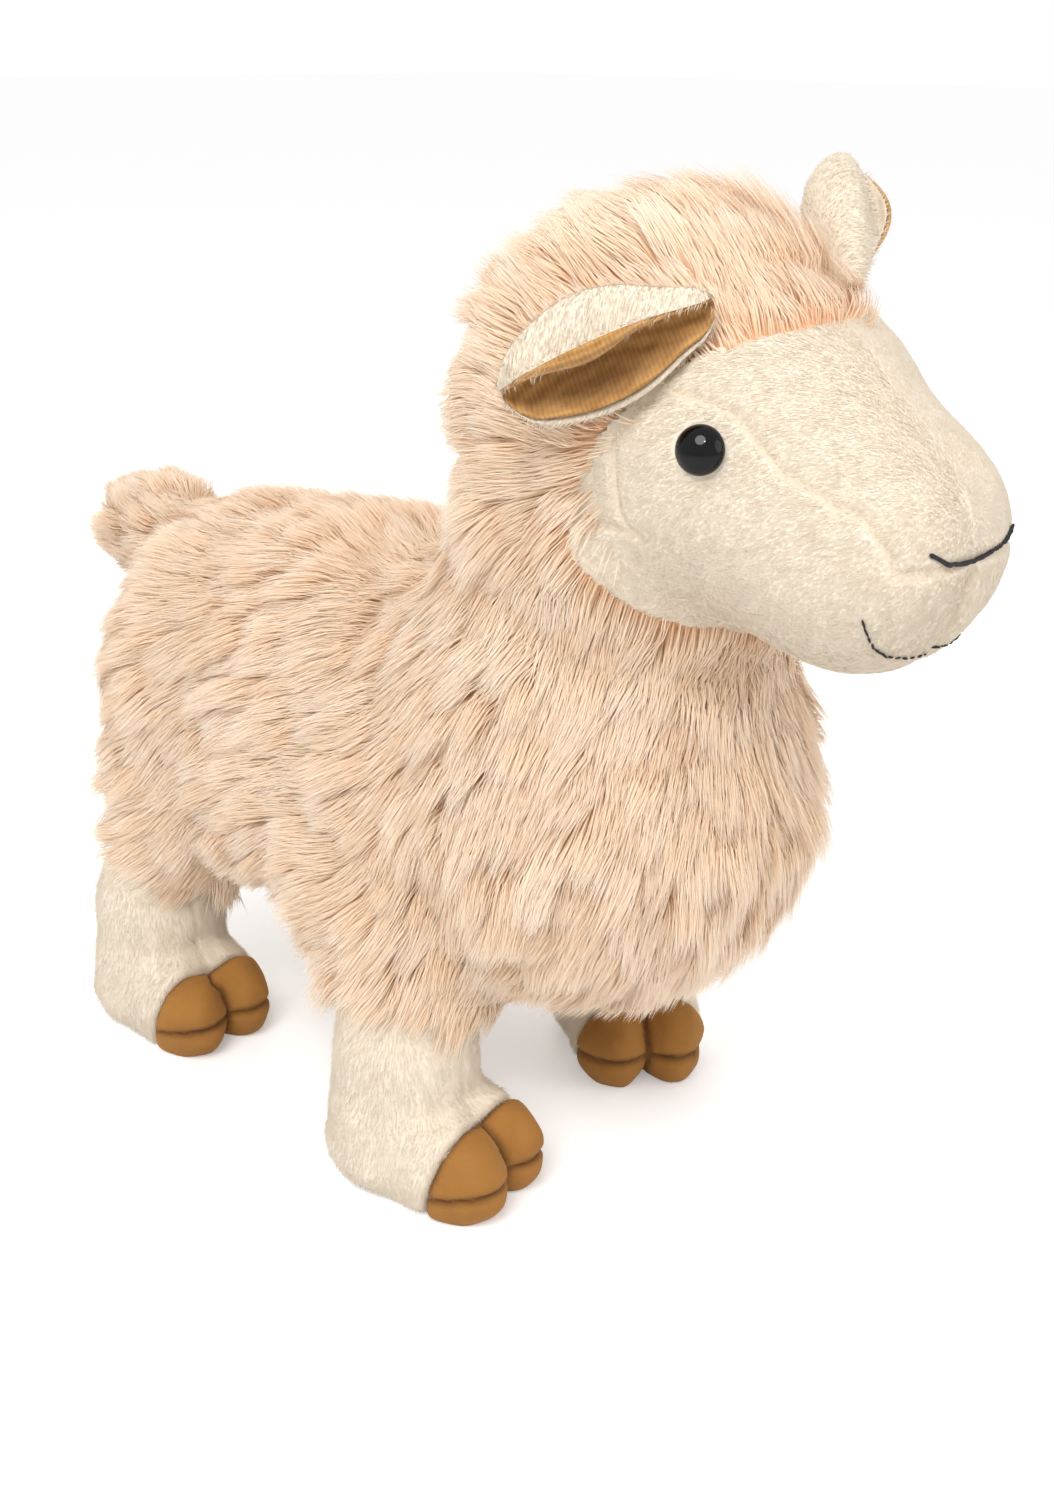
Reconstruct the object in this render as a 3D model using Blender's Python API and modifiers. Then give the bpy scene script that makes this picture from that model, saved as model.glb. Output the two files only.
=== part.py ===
"""A standing plush llama, about 29 cm tall: long-pile fleece over body, neck and head, a short-pile
cream face, ears and legs, cloven suede hooves, safety eyes with their washers, and fibre stuffing.
The llama faces -Y and stands on z = 0, with the origin on the floor under the middle of it all."""
import math

import bmesh
import bpy
from mathutils import Matrix, Vector, noise
from mathutils.bvhtree import BVHTree

MM = 0.001

# Driving dimensions, in millimetres
GAP = 0.35                 # clearance between sewn neighbours
FLEECE_DEPTH = 9.0         # backing and pile of the long fleece
PLUSH_DEPTH = 3.0          # backing and pile of the short plush
TUFT_HEIGHT = 3.2          # how far the tufts of the fleece rise and fall
TUFT_SIZE = 19.0           # width of one tuft
LEG_RADIUS = 23.0          # of the shin
LEG_HEIGHT = 62.0          # where the leg ends inside the fleece
EYE_RADIUS = 6.1
EYE_RISE = 4.6             # how far the eye's dome stands proud
STEM_RADIUS = 1.6          # of the stem behind each eye
WASHER_RADIUS = 6.0        # of the washer on that stem, inside the face
THREAD_RADIUS = 0.55

# Stuffed forms: a centre, three radii and a pitch about X in degrees
TORSO = [
    ((0, 56, 120), (57, 47, 52), 0),
    ((0, 8, 122), (55, 64, 55), 0),
    ((0, 6, 99), (58, 72, 44), 0),
    ((0, -58, 112), (58, 58, 55), 0),
]
THIGHS = []
for side in (-1, 1):
    THIGHS.append(((side * 40, 58, 82), (23, 25, 28), 0))
    THIGHS.append(((side * 40, -60, 77), (23, 25, 27), 0))
    THIGHS.append(((side * 40, -46, 88), (25, 30, 29), 0))
CHEST_AND_NECK = [
    ((0, -98, 122), (57, 52, 58), 0),
    ((0, -70, 144), (46, 46, 44), 0),
    ((0, -96, 166), (44, 44, 48), 0),
    ((0, -102, 204), (41, 42, 42), 0),
]
SKULL = [
    ((0, -108, 236), (43, 50, 40), 0),
    ((0, -142, 228), (44, 40, 40), 0),
    ((0, -110, 204), (43, 42, 38), 0),
]
MUZZLE = [
    ((0, -160, 219), (37, 40, 33), 20),
    ((-10, -176, 212), (24, 29, 28), 12),
    ((10, -176, 212), (24, 29, 28), 12),
    ((0, -177, 204), (30, 25, 23), 15),
]
HEAD_FLEECE = [
    ((0, -106, 240), (51, 49, 48), 0),
    ((0, -128, 232), (51, 46, 46), 0),
    ((0, -115, 262), (39, 48, 29), 0),
]
TAIL = [((0, 124, 155), (18, 34, 19), -12)]
TAIL_CORE = [((0, 113, 152), (9, 36, 10), -12)]

# Each leg: where its foot, its shin and its top stand, and how far the foot is turned
LEGS = {
    "front_right": ((-54, -65), (-53, -65), (-45, -61), 10.0),
    "front_left": ((51, -61), (55, -67), (46, -62), -35.0),
    "hind_right": ((-54, 64), (-53, 64), (-45, 60), 0.0),
    "hind_left": ((54, 64), (53, 64), (45, 60), 0.0),
}
FOOT = [
    ((0, 0, 10), (LEG_RADIUS + 2.5, 26, 15), 0),
    ((0, 0, 22), (LEG_RADIUS + 1, 24, 22), 0),
    ((-9.5, -18, 12), (13.5, 26.5, 18.5), 0),
    ((9.5, -18, 12), (13.5, 26.5, 18.5), 0),
    ((0, -12, 14), (22, 22, 17), 0),
]
SHIN = ((0, 0, 38), (LEG_RADIUS, LEG_RADIUS, 34), 0)
LEG_TOP = ((0, 0, 68), (LEG_RADIUS - 4, LEG_RADIUS - 4, 34), 0)

# The seam from plush to suede: how far ahead and how high it starts, and how it leans
HOOF_SEAM = (24.5, 10.0)
HOOF_LEAN = math.radians(15)
SOLE_SEAM_Z = 8.5
SOLE_RISE = math.radians(12.5)

# Half the width of the bridge panel along the head, and the height of the nose line
BRIDGE = [(60, -100), (42, -140), (37, -158), (33, -173), (30, -188), (25, -202), (17, -212), (17, -240)]
NOSE_Z = 213.0
NOSE_LINE = [(-17, 216.5), (-12, 214), (-6, 212.6), (0, 212), (6, 212.6), (12, 214), (17, 216.5)]
MOUTH_LINE = [
    (-26, 200), (-24.5, 196), (-22, 192.6), (-18, 190.3), (-11, 188.8), (0, 188.4),
    (11, 188.8), (18, 190.3), (22, 192.6), (24.5, 196), (26, 200),
]
# The left eye: its middle, where it looks, and how far the parts of it reach into the face
EYE = (42.3, -157.7, 236.6)
EYE_AXIS = (0.88, -0.36, 0.2)
EYE_STEM = 7.4
EYE_SOCKET = 0.5
WASHER_DEPTH = 4.2
WASHER_THICKNESS = 1.6

# An ear's cross-section as (up, forward), from its lower edge round the fold to the rim of its
# upper flap: folded over in the middle of the ear, and open at its tip and its root
EAR_FOLDED = [
    (-11.5, 6), (-9, 0.5), (-5.5, -4), (-0.5, -7.5), (6, -8.5), (12, -6), (15, -1), (13, 4),
    (7, 5.2), (2, 5.8), (-0.6, 8.6), (0.2, 12.2), (4.2, 13.6),
]
EAR_OPEN = [
    (-11.5, 8), (-10, 3.5), (-7.5, -0.5), (-3, -3.5), (3, -4.5), (8.5, -3), (12, 0.5), (13.5, 4),
    (13, 7.5), (11, 9.5), (8.5, 10.5), (6.5, 11), (5, 11.5),
]
EAR_ROWS = [-0.12, 0.0, 0.12, 0.24, 0.36, 0.5, 0.64, 0.78, 0.9, 1.0]
EAR_SCALE = [
    (-0.12, 0.4), (0, 0.44), (0.08, 0.52), (0.27, 0.86), (0.45, 1.0), (0.66, 0.92),
    (0.86, 0.7), (0.95, 0.52), (1.0, 0.34),
]
EAR_LENGTH = 47.0
EAR_SINK = 1.5
EAR_BACK_DEPTH = 2.0
EAR_LINING_DEPTH = 1.2
# Where each ear starts, where it points, where its fold opens, and where its root sinks in
EARS = {
    "right": ((-33, -146, 264), (-0.60, 0.68, -0.42), (-0.733, -0.66, 0.164), (0.7, 0.25, -0.65), 0.0),
    "left": ((32, -143, 266), (0.657, 0.583, 0.477), (0.733, -0.66, 0.164), (-0.7, 0.25, -0.65), 0.0),
}

# How finely each form is faceted, in triangles
FLEECE_FACES = 1600
INSIDE_FACES = 760
FACE_FACES = 1300
LEG_FACES = 340
LEG_CORE_FACES = 180
TAIL_FACES = 220

# The edge of the face seen from the side, as (y, z), closed well in front of the nose
HAIRLINE = [
    (-240, 282), (-192, 266), (-168, 261), (-152, 256), (-138, 246), (-126, 232),
    (-119, 218), (-121, 206), (-131, 195), (-146, 186), (-166, 181), (-190, 168), (-240, 150),
]


def new_collection(name):
    made = bpy.data.collections.new(name)
    bpy.context.scene.collection.children.link(made)
    return made


def add_object(name, data, collection):
    obj = bpy.data.objects.new(name, data)
    collection.objects.link(obj)
    return obj


def freeze(obj):
    """Replaces an object's data by its evaluated mesh and drops the modifiers."""
    deps = bpy.context.evaluated_depsgraph_get()
    mesh = bpy.data.meshes.new_from_object(obj.evaluated_get(deps))
    obj.modifiers.clear()
    obj.data = mesh
    return obj


def place_in_world(obj, matrix):
    """Moves the mesh itself, so that the object stays at the origin."""
    obj.data.transform(matrix)
    return obj


def copy_of(obj, name):
    return add_object(name, obj.data.copy(), TOOLS)


def grown(obj, distance, name):
    """A copy whose surface is moved outwards along its normals, in millimetres.

    Both are triangles, so that the copy follows the original facet by facet."""
    flat = bmesh.new()
    flat.from_mesh(obj.data)
    bmesh.ops.triangulate(flat, faces=flat.faces)
    flat.to_mesh(obj.data)
    flat.free()
    made = copy_of(obj, name)
    shape = bmesh.new()
    shape.from_mesh(made.data)
    shape.normal_update()
    moves = [(v, v.normal * distance * MM) for v in shape.verts]
    for v, move in moves:
        v.co += move
    shape.to_mesh(made.data)
    shape.free()
    return made


def cut(obj, cutter, operation="DIFFERENCE"):
    """One Boolean, applied at once."""
    step = obj.modifiers.new(operation.lower(), "BOOLEAN")
    step.operation = operation
    step.solver = "EXACT"
    step.use_self = True
    step.object = cutter
    return freeze(obj)


def largest_piece(obj):
    """Keeps the largest connected piece of a cut mesh, and drops crumbs."""
    shape = bmesh.new()
    shape.from_mesh(obj.data)
    left = set(shape.faces)
    groups = []
    while left:
        seed = left.pop()
        group, front = {seed}, [seed]
        while front:
            for edge in front.pop().edges:
                # An edge that joins more than two faces is where a folded sliver touches
                for face in edge.link_faces:
                    if face in left and len(edge.link_faces) == 2:
                        left.discard(face)
                        group.add(face)
                        front.append(face)
        groups.append(group)
    keep = max(groups, key=len)
    bmesh.ops.delete(shape, geom=[face for face in shape.faces if face not in keep], context="FACES")
    shape.to_mesh(obj.data)
    shape.free()
    return obj


def soft_form(name, lumps, grow=0.0, voxel=4.0, rounds=14, faces=1200):
    """A stuffed form: overlapping ellipsoids fused by a voxel remesh, smoothed and thinned."""
    shape = bmesh.new()
    for centre, radii, pitch in lumps:
        size = [(r + grow) * MM for r in radii]
        place = (Matrix.Translation(Vector(centre) * MM)
                 @ Matrix.Rotation(math.radians(pitch), 4, "X")
                 @ Matrix.Diagonal((*size, 1.0)))
        bmesh.ops.create_uvsphere(shape, u_segments=32, v_segments=20, radius=1.0, matrix=place)
    mesh = bpy.data.meshes.new(name)
    shape.to_mesh(mesh)
    shape.free()
    obj = add_object(name, mesh, TOOLS)
    remesh = obj.modifiers.new("fuse", "REMESH")
    remesh.mode = "VOXEL"
    remesh.voxel_size = voxel * MM
    smooth = obj.modifiers.new("smooth", "SMOOTH")
    smooth.factor = 0.5
    smooth.iterations = rounds
    freeze(obj)
    return thinned(obj, faces)


def thinned(obj, faces):
    """Decimates a mesh to about that many triangles."""
    thin = obj.modifiers.new("thin", "DECIMATE")
    obj.data.calc_loop_triangles()
    thin.ratio = faces / len(obj.data.loop_triangles)
    return freeze(obj)


def box(name, low, high):
    """A plain cutter between two corners, in millimetres."""
    shape = bmesh.new()
    low, high = Vector(low), Vector(high)
    place = Matrix.Translation((low + high) / 2 * MM) @ Matrix.Diagonal((*((high - low) * MM), 1.0))
    bmesh.ops.create_cube(shape, size=1.0, matrix=place)
    mesh = bpy.data.meshes.new(name)
    shape.to_mesh(mesh)
    shape.free()
    return add_object(name, mesh, TOOLS)


def side_outline(name, points, half_width):
    """A closed smooth outline in the (y, z) plane, carried across the middle plane."""
    curve = bpy.data.curves.new(name, "CURVE")
    curve.dimensions = "2D"
    curve.fill_mode = "BOTH"
    curve.extrude = half_width * MM
    curve.resolution_u = 4
    spline = curve.splines.new("BEZIER")
    spline.bezier_points.add(len(points) - 1)
    for point, (y, z) in zip(spline.bezier_points, points):
        point.co = (y * MM, z * MM, 0)
        point.handle_left_type = point.handle_right_type = "AUTO"
    spline.use_cyclic_u = True
    obj = add_object(name, curve, TOOLS)
    obj.matrix_world = Matrix(((0, 0, 1, 0), (1, 0, 0, 0), (0, 1, 0, 0), (0, 0, 0, 1)))
    return solid_from_curve(obj)


def top_outline(name, points, low, high):
    """A closed straight-sided outline in the (x, y) plane, from one height to another."""
    curve = bpy.data.curves.new(name, "CURVE")
    curve.dimensions = "2D"
    curve.fill_mode = "BOTH"
    curve.extrude = (high - low) / 2 * MM
    spline = curve.splines.new("POLY")
    spline.points.add(len(points) - 1)
    for point, (x, y) in zip(spline.points, points):
        point.co = (x * MM, y * MM, 0, 1)
    spline.use_cyclic_u = True
    obj = add_object(name, curve, TOOLS)
    obj.matrix_world = Matrix.Translation((0, 0, (low + high) / 2 * MM))
    return solid_from_curve(obj)


def cylinder(name, radius, low, high, segments):
    """A plain round cutter along Z, in millimetres."""
    shape = bmesh.new()
    bmesh.ops.create_cone(shape, cap_ends=True, segments=segments, radius1=radius * MM,
                          radius2=radius * MM, depth=(high - low) * MM,
                          matrix=Matrix.Translation((0, 0, (low + high) / 2 * MM)))
    mesh = bpy.data.meshes.new(name)
    shape.to_mesh(mesh)
    shape.free()
    return add_object(name, mesh, TOOLS)


def solid_from_curve(obj):
    """A welded mesh in place of a curve object."""
    bpy.context.view_layer.update()
    deps = bpy.context.evaluated_depsgraph_get()
    mesh = bpy.data.meshes.new_from_object(obj.evaluated_get(deps))
    mesh.transform(obj.matrix_world)
    shape = bmesh.new()
    shape.from_mesh(mesh)
    bmesh.ops.remove_doubles(shape, verts=shape.verts, dist=0.01 * MM)
    bmesh.ops.recalc_face_normals(shape, faces=shape.faces)
    shape.to_mesh(mesh)
    shape.free()
    name = obj.name
    bpy.data.objects.remove(obj)
    return add_object(name, mesh, TOOLS)


def raise_tufts(obj):
    """Lets the surface of the fleece rise and fall in tufts."""
    shape = bmesh.new()
    shape.from_mesh(obj.data)
    shape.normal_update()
    moves = []
    for v in shape.verts:
        # abs() keeps the left and the right side alike
        spot = Vector((abs(v.co.x), v.co.y, v.co.z)) / (TUFT_SIZE * MM)
        moves.append((v, v.normal * noise.noise(spot) * TUFT_HEIGHT * MM))
    for v, move in moves:
        v.co += move
    shape.to_mesh(obj.data)
    shape.free()
    return obj


def material(name, colour, roughness, sheen=0.0):
    """A plain Principled material from an 8-bit sRGB colour."""
    made = bpy.data.materials.new(name)
    made.use_nodes = True
    shader = made.node_tree.nodes["Principled BSDF"]
    linear = [((c / 255 + 0.055) / 1.055) ** 2.4 for c in colour]
    shader.inputs["Base Color"].default_value = (*linear, 1.0)
    shader.inputs["Roughness"].default_value = roughness
    shader.inputs["Metallic"].default_value = 0.0
    shader.inputs["Sheen Weight"].default_value = sheen
    made.diffuse_color = (*linear, 1.0)
    return made


def finish(obj, name, colour):
    """Names a finished piece, moves it among the parts and gives it its material."""
    for collection in list(obj.users_collection):
        collection.objects.unlink(obj)
    PARTS.objects.link(obj)
    obj.name = name
    obj.data.name = name
    obj.data.materials.clear()
    obj.data.materials.append(colour)
    if obj.type == "MESH":
        obj.data.shade_smooth()
        obj.data.set_sharp_from_angle(angle=math.radians(50))
    return obj


def plane_box(name, point, normal, reach=200):
    """A big block that fills the side of a plane its normal points to, in millimetres."""
    block = box(name, (-reach, -reach, 0), (reach, reach, reach))
    turn = Vector((0, 0, 1)).rotation_difference(Vector(normal)).to_matrix().to_4x4()
    return place_in_world(block, Matrix.Translation(Vector(point) * MM) @ turn)


def turned(name, profile, steps):
    """A profile of (radius, height) pairs, in millimetres, turned about Z."""
    mesh = bpy.data.meshes.new(name)
    count = len(profile)
    closed = profile[0][0] > 0
    edges = [(i, (i + 1) % count) for i in range(count if closed else count - 1)]
    mesh.from_pydata([(r * MM, 0, z * MM) for r, z in profile], edges, [])
    obj = add_object(name, mesh, PARTS)
    screw = obj.modifiers.new("turn", "SCREW")
    screw.angle = math.tau
    screw.steps = screw.render_steps = steps
    screw.use_merge_vertices = True
    screw.merge_threshold = 0.00005
    return obj


def aimed(point, direction):
    """A frame at a point in metres whose Z axis follows a direction."""
    turn = Vector((0, 0, 1)).rotation_difference(direction).to_matrix().to_4x4()
    return Matrix.Translation(point) @ turn


def thread(name, points, skin, colour):
    """A sewn thread through (x, z) points, laid on the front of a surface."""
    tree = BVHTree.FromObject(skin, bpy.context.evaluated_depsgraph_get())
    curve = bpy.data.curves.new(name, "CURVE")
    curve.dimensions = "3D"
    curve.bevel_depth = THREAD_RADIUS * MM
    curve.bevel_resolution = 1
    curve.use_fill_caps = True
    spline = curve.splines.new("POLY")
    path = []
    for a, b in zip(points, points[1:]):
        path += [Vector(a).lerp(Vector(b), i / 2) for i in range(2)]
    path.append(Vector(points[-1]))
    spline.points.add(len(path) - 1)
    for spot, (x, z) in zip(spline.points, path):
        place, normal, _, _ = tree.ray_cast(Vector((x, -260, z)) * MM, Vector((0, 1, 0)))
        place = place + normal * (THREAD_RADIUS + GAP) * MM
        spot.co = (*place, 1.0)
    obj = add_object(name, curve, PARTS)
    return finish(obj, name, colour)


def through(values, at):
    """Reads a table of (position, value) pairs at a position, with straight runs between them."""
    for (a, va), (b, vb) in zip(values, values[1:]):
        if at <= b:
            return va + (vb - va) * (at - a) / (b - a)
    return values[-1][1]


def ear_surface(name, base, along, front, inward, lift):
    """The folded leaf between an ear's back and its lining, as an open surface."""
    rows = len(EAR_ROWS)
    columns = len(EAR_FOLDED)
    shape = bmesh.new()
    bmesh.ops.create_grid(shape, x_segments=rows - 1, y_segments=columns - 1, size=1.0)
    weights = shape.verts.layers.deform.verify()
    along = Vector(along).normalized()
    front = Vector(front)
    front = (front - along * front.dot(along)).normalized()
    up = along.cross(front)
    if up.z < 0:
        up.negate()
    for v in shape.verts:
        row = round((v.co.x + 1) / 2 * (rows - 1))
        column = round((v.co.y + 1) / 2 * (columns - 1))
        u = EAR_ROWS[row]
        scale = through(EAR_SCALE, u)
        fold = max(1 - abs(u - 0.53) / 0.52, 0.0)
        open_spot = Vector(EAR_OPEN[column])
        spot = open_spot.lerp(Vector(EAR_FOLDED[column]), fold) * scale
        sink = (max(0.0, 0.25 - u) / 0.45) ** 2 * EAR_SINK
        place = (Vector(base) + along * EAR_LENGTH * u + Vector(inward) * sink
                 + up * spot.x + front * (spot.y + lift * u))
        v.co = place * MM
        # The layers thin out towards the rolled rim
        v[weights][0] = scale * (0.25 if column >= columns - 5 else 1.0)
    # The faces point away from the inside of the fold
    shape.normal_update()
    top = max(shape.faces, key=lambda face: face.calc_center_median().dot(up))
    if top.normal.dot(up) < 0:
        bmesh.ops.reverse_faces(shape, faces=shape.faces)
    mesh = bpy.data.meshes.new(name)
    shape.to_mesh(mesh)
    shape.free()
    obj = add_object(name, mesh, TOOLS)
    obj.vertex_groups.new(name="thickness")
    return obj


def filled(obj, name):
    """The convex block that an open or folded surface fits into."""
    shape = bmesh.new()
    shape.from_mesh(obj.data)
    hull = bmesh.ops.convex_hull(shape, input=shape.verts, use_existing_faces=False)
    unused = set(hull["geom_interior"] + hull["geom_unused"])
    bmesh.ops.delete(shape, geom=[v for v in unused if isinstance(v, bmesh.types.BMVert)], context="VERTS")
    kept = {face for face in hull["geom"] if isinstance(face, bmesh.types.BMFace)}
    bmesh.ops.delete(shape, geom=[face for face in shape.faces if face not in kept], context="FACES_ONLY")
    bmesh.ops.recalc_face_normals(shape, faces=shape.faces)
    mesh = bpy.data.meshes.new(name)
    shape.to_mesh(mesh)
    shape.free()
    return add_object(name, mesh, TOOLS)


def ear_layer(surface, name, start, thickness, outwards):
    """One layer of an ear, Solidified from the leaf."""
    layer = grown(surface, start, name)
    layer.vertex_groups.new(name="thickness")
    solid = layer.modifiers.new("layer", "SOLIDIFY")
    solid.thickness = thickness * MM
    solid.offset = 1.0 if outwards else -1.0
    solid.vertex_group = "thickness"
    solid.thickness_vertex_group = 0.15
    return freeze(layer)


for old in list(bpy.data.objects):
    bpy.data.objects.remove(old)
PARTS = new_collection("plush_llama")
TOOLS = new_collection("cutters")

PEACH_FLEECE = material("peach_fleece", (236, 203, 176), 0.95, 0.4)
CREAM_PLUSH = material("cream_plush", (243, 232, 213), 0.95, 0.4)
BROWN_SUEDE = material("brown_suede", (163, 110, 50), 0.9, 0.2)
TAN_LINING = material("tan_lining", (176, 126, 66), 0.9)
BLACK_EYE = material("black_eye", (12, 11, 12), 0.08)
WHITE_PLASTIC = material("white_plastic", (235, 235, 232), 0.4)
BLACK_THREAD = material("black_thread", (28, 25, 28), 0.7)
WHITE_FIBRE = material("white_fibre", (240, 240, 238), 1.0)

# The inside of the body and head, which the fleece and the face are sewn around
BODY_LUMPS = TORSO + THIGHS + CHEST_AND_NECK
inside = soft_form("inside", BODY_LUMPS + SKULL + MUZZLE, rounds=16, faces=INSIDE_FACES)
inside_grown = grown(inside, GAP, "inside_grown")

# The legs: outer skin, inner stuffing, hooves
legs = {}
for name, (foot, shin, top, turn) in LEGS.items():
    stand = Matrix.Translation(Vector((*foot, 0)) * MM) @ Matrix.Rotation(math.radians(turn), 4, "Z")
    lumps = list(FOOT)
    for (centre, radii, pitch), spot in ((SHIN, shin), (LEG_TOP, top)):
        away = stand.inverted() @ (Vector((*spot, centre[2])) * MM)
        lumps.append((tuple(away / MM), radii, pitch))
    skin = soft_form(name + "_skin", lumps, voxel=2.5, rounds=8, faces=LEG_FACES)
    core = soft_form(name + "_core", lumps, grow=-PLUSH_DEPTH, voxel=2.5, rounds=8, faces=LEG_CORE_FACES)
    for form in (skin, core):
        cut(form, box("above", (-200, -200, LEG_HEIGHT), (200, 200, 400)))
    cut(skin, box("floor", (-200, -200, -60), (200, 200, 0)))
    cut(core, box("sole", (-200, -200, -60), (200, 200, PLUSH_DEPTH)))
    legs[name] = (stand, skin, core)

for name, (stand, skin, core) in legs.items():
    shell = cut(copy_of(skin, name + "_shell"), grown(core, GAP, "core_grown"))
    # The seam from plush to suede leans forward towards the instep
    seam = Vector((0, -HOOF_SEAM[0], HOOF_SEAM[1]))
    lean = Vector((0, -math.cos(HOOF_LEAN), -math.sin(HOOF_LEAN)))
    step = lean * GAP / 2
    cover = cut(copy_of(shell, name + "_cover"), plane_box("suede_side", seam - step, lean))
    hoof = cut(shell, plane_box("plush_side", seam + step, -lean))
    # The sole seam rises towards the toe
    rise = Vector((0, math.sin(SOLE_RISE), math.cos(SOLE_RISE)))
    sole = Vector((0, -24, SOLE_SEAM_Z))
    for level, above in (("upper", True), ("sole", False)):
        for half, side in (("inner", 1), ("outer", -1)):
            # The outer half is the one away from the other legs
            sign = side if name.endswith("right") else -side
            panel = copy_of(hoof, "panel")
            if above:
                cut(panel, plane_box("below_seam", sole + rise * GAP / 2, -rise))
            else:
                cut(panel, plane_box("above_seam", sole - rise * GAP / 2, rise))
            cut(panel, plane_box("other_toe", Vector((sign * GAP / 2, 0, 0)), Vector((-sign, 0, 0))))
            place_in_world(largest_piece(panel), stand)
            finish(panel, f"hoof_{name}_{level}_{half}", BROWN_SUEDE)
    place_in_world(largest_piece(cover), stand)
    finish(cover, f"leg_{name}", CREAM_PLUSH)
    place_in_world(core, stand)
    place_in_world(skin, stand)
    finish(copy_of(core, "core"), f"stuffing_leg_{name}", WHITE_FIBRE)

# The fleece over the body, the neck and the head
fleece_lumps = [(c, tuple(r + FLEECE_DEPTH for r in radii), p) for c, radii, p in BODY_LUMPS]
fleece = soft_form("fleece", fleece_lumps + HEAD_FLEECE, rounds=24, faces=FLEECE_FACES)
raise_tufts(fleece)
fleece_skin = copy_of(fleece, "fleece_skin")
face_region = side_outline("face_region", HAIRLINE, 90)
cut(fleece, inside_grown)
cut(fleece, grown(face_region, GAP, "face_region_grown"))

# The tail is a tuft of the same fleece over its own stuffing
tail = raise_tufts(soft_form("tail", TAIL, voxel=3.0, faces=TAIL_FACES))
tail_core = soft_form("tail_core", TAIL_CORE, voxel=3.0, rounds=4, faces=TAIL_FACES // 2)
body_grown = grown(fleece_skin, GAP, "body_grown")
cut(tail, grown(tail_core, GAP, "tail_core_grown"))
cut(tail, body_grown)
cut(tail_core, body_grown)
finish(largest_piece(tail), "tail_fleece", PEACH_FLEECE)
finish(largest_piece(tail_core), "stuffing_tail", WHITE_FIBRE)

# The face: one bridge panel and two side panels of short plush
face = soft_form("face", BODY_LUMPS + SKULL + MUZZLE, grow=PLUSH_DEPTH, rounds=16, voxel=3.0, faces=FACE_FACES)
face_skin = copy_of(face, "face_skin")
cut(face, face_region, "INTERSECT")
bridge_outline = BRIDGE + [(-half, y) for half, y in reversed(BRIDGE)]
bridge_block = top_outline("bridge_block", bridge_outline, NOSE_Z, 320)
bridge_panel = cut(copy_of(face, "bridge_panel"), bridge_block, "INTERSECT")
cut(bridge_panel, inside_grown)
cut(face, grown(bridge_block, GAP, "bridge_grown"))
cheeks = {}
for side, sign in (("right", -1), ("left", 1)):
    cheek = copy_of(face, f"face_{side}_panel")
    cut(cheek, plane_box("other_cheek", (sign * GAP / 2, 0, 0), (-sign, 0, 0), 400))
    cheeks[side] = cut(cheek, inside_grown)

# The ears, folded lengthwise
ears = []
for side, (base, along, front, inward, lift) in EARS.items():
    leaf = ear_surface(f"leaf_{side}", base, along, front, inward, lift)
    back = ear_layer(leaf, f"ear_{side}_back", GAP, EAR_BACK_DEPTH, True)
    lining = ear_layer(leaf, f"ear_{side}_lining", -GAP * 0.6, EAR_LINING_DEPTH, False)
    # The fleece stays out of the fold
    cut(fleece, filled(leaf, f"ear_{side}_room"))
    for layer, colour in ((back, CREAM_PLUSH), (lining, TAN_LINING)):
        cut(fleece, grown(layer, GAP, "ear_grown"))
        ears.append(finish(largest_piece(layer), layer.name, colour))

for name, (stand, skin, core) in legs.items():
    cut(fleece, grown(skin, GAP, "leg_grown"))
finish(largest_piece(fleece), "body_fleece", PEACH_FLEECE)

# The stuffing of body and head, which the legs run into
stuffing = copy_of(inside, "stuffing")
for name, (stand, skin, core) in legs.items():
    cut(stuffing, grown(skin, GAP, "leg_grown"))

# The eyes go through the side panels and are held by washers inside
deps = bpy.context.evaluated_depsgraph_get()
skin_tree = BVHTree.FromObject(face_skin, deps)
for side, sign in (("right", -1), ("left", 1)):
    spot = skin_tree.find_nearest(Vector((sign * EYE[0], EYE[1], EYE[2])) * MM)[0]
    normal = Vector((sign * EYE_AXIS[0], EYE_AXIS[1], EYE_AXIS[2])).normalized()
    place = aimed(spot, normal)
    dome = [(0, -EYE_STEM), (STEM_RADIUS, -EYE_STEM), (STEM_RADIUS, -EYE_SOCKET), (EYE_RADIUS, -EYE_SOCKET)]
    for i in range(1, 8):
        angle = math.pi / 2 * i / 8
        dome.append((EYE_RADIUS * math.cos(angle), EYE_RISE * math.sin(angle)))
    dome.append((0, EYE_RISE))
    eye = turned("eye_" + side, list(reversed(dome)), 20)
    eye.matrix_world = place
    finish(eye, "eye_" + side, BLACK_EYE)
    low, high = -WASHER_DEPTH - WASHER_THICKNESS, -WASHER_DEPTH
    hole = STEM_RADIUS + GAP
    ring = [(hole, high), (WASHER_RADIUS, high), (WASHER_RADIUS, low), (hole, low)]
    washer = turned(f"eye_{side}_washer", ring, 20)
    washer.matrix_world = place
    finish(washer, f"eye_{side}_washer", WHITE_PLASTIC)
    # The stem's hole and the shallow socket in the panel, and the washer's room in the stuffing
    for radius, bottom, up_to, target in (
        (STEM_RADIUS + GAP, -12.0, 1.0, cheeks[side]),
        (EYE_RADIUS + GAP, -EYE_SOCKET - GAP, 8.0, cheeks[side]),
        (STEM_RADIUS + GAP, -EYE_STEM - GAP, 8.0, stuffing),
        (WASHER_RADIUS + GAP, low - GAP, 8.0, stuffing),
    ):
        drill = cylinder("drill", radius, bottom, up_to, 20)
        place_in_world(drill, place)
        cut(target, drill)

for cheek in cheeks.values():
    finish(largest_piece(cheek), cheek.name, CREAM_PLUSH)
finish(largest_piece(bridge_panel), "face_bridge_panel", CREAM_PLUSH)
finish(largest_piece(stuffing), "stuffing_body", WHITE_FIBRE)

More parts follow.
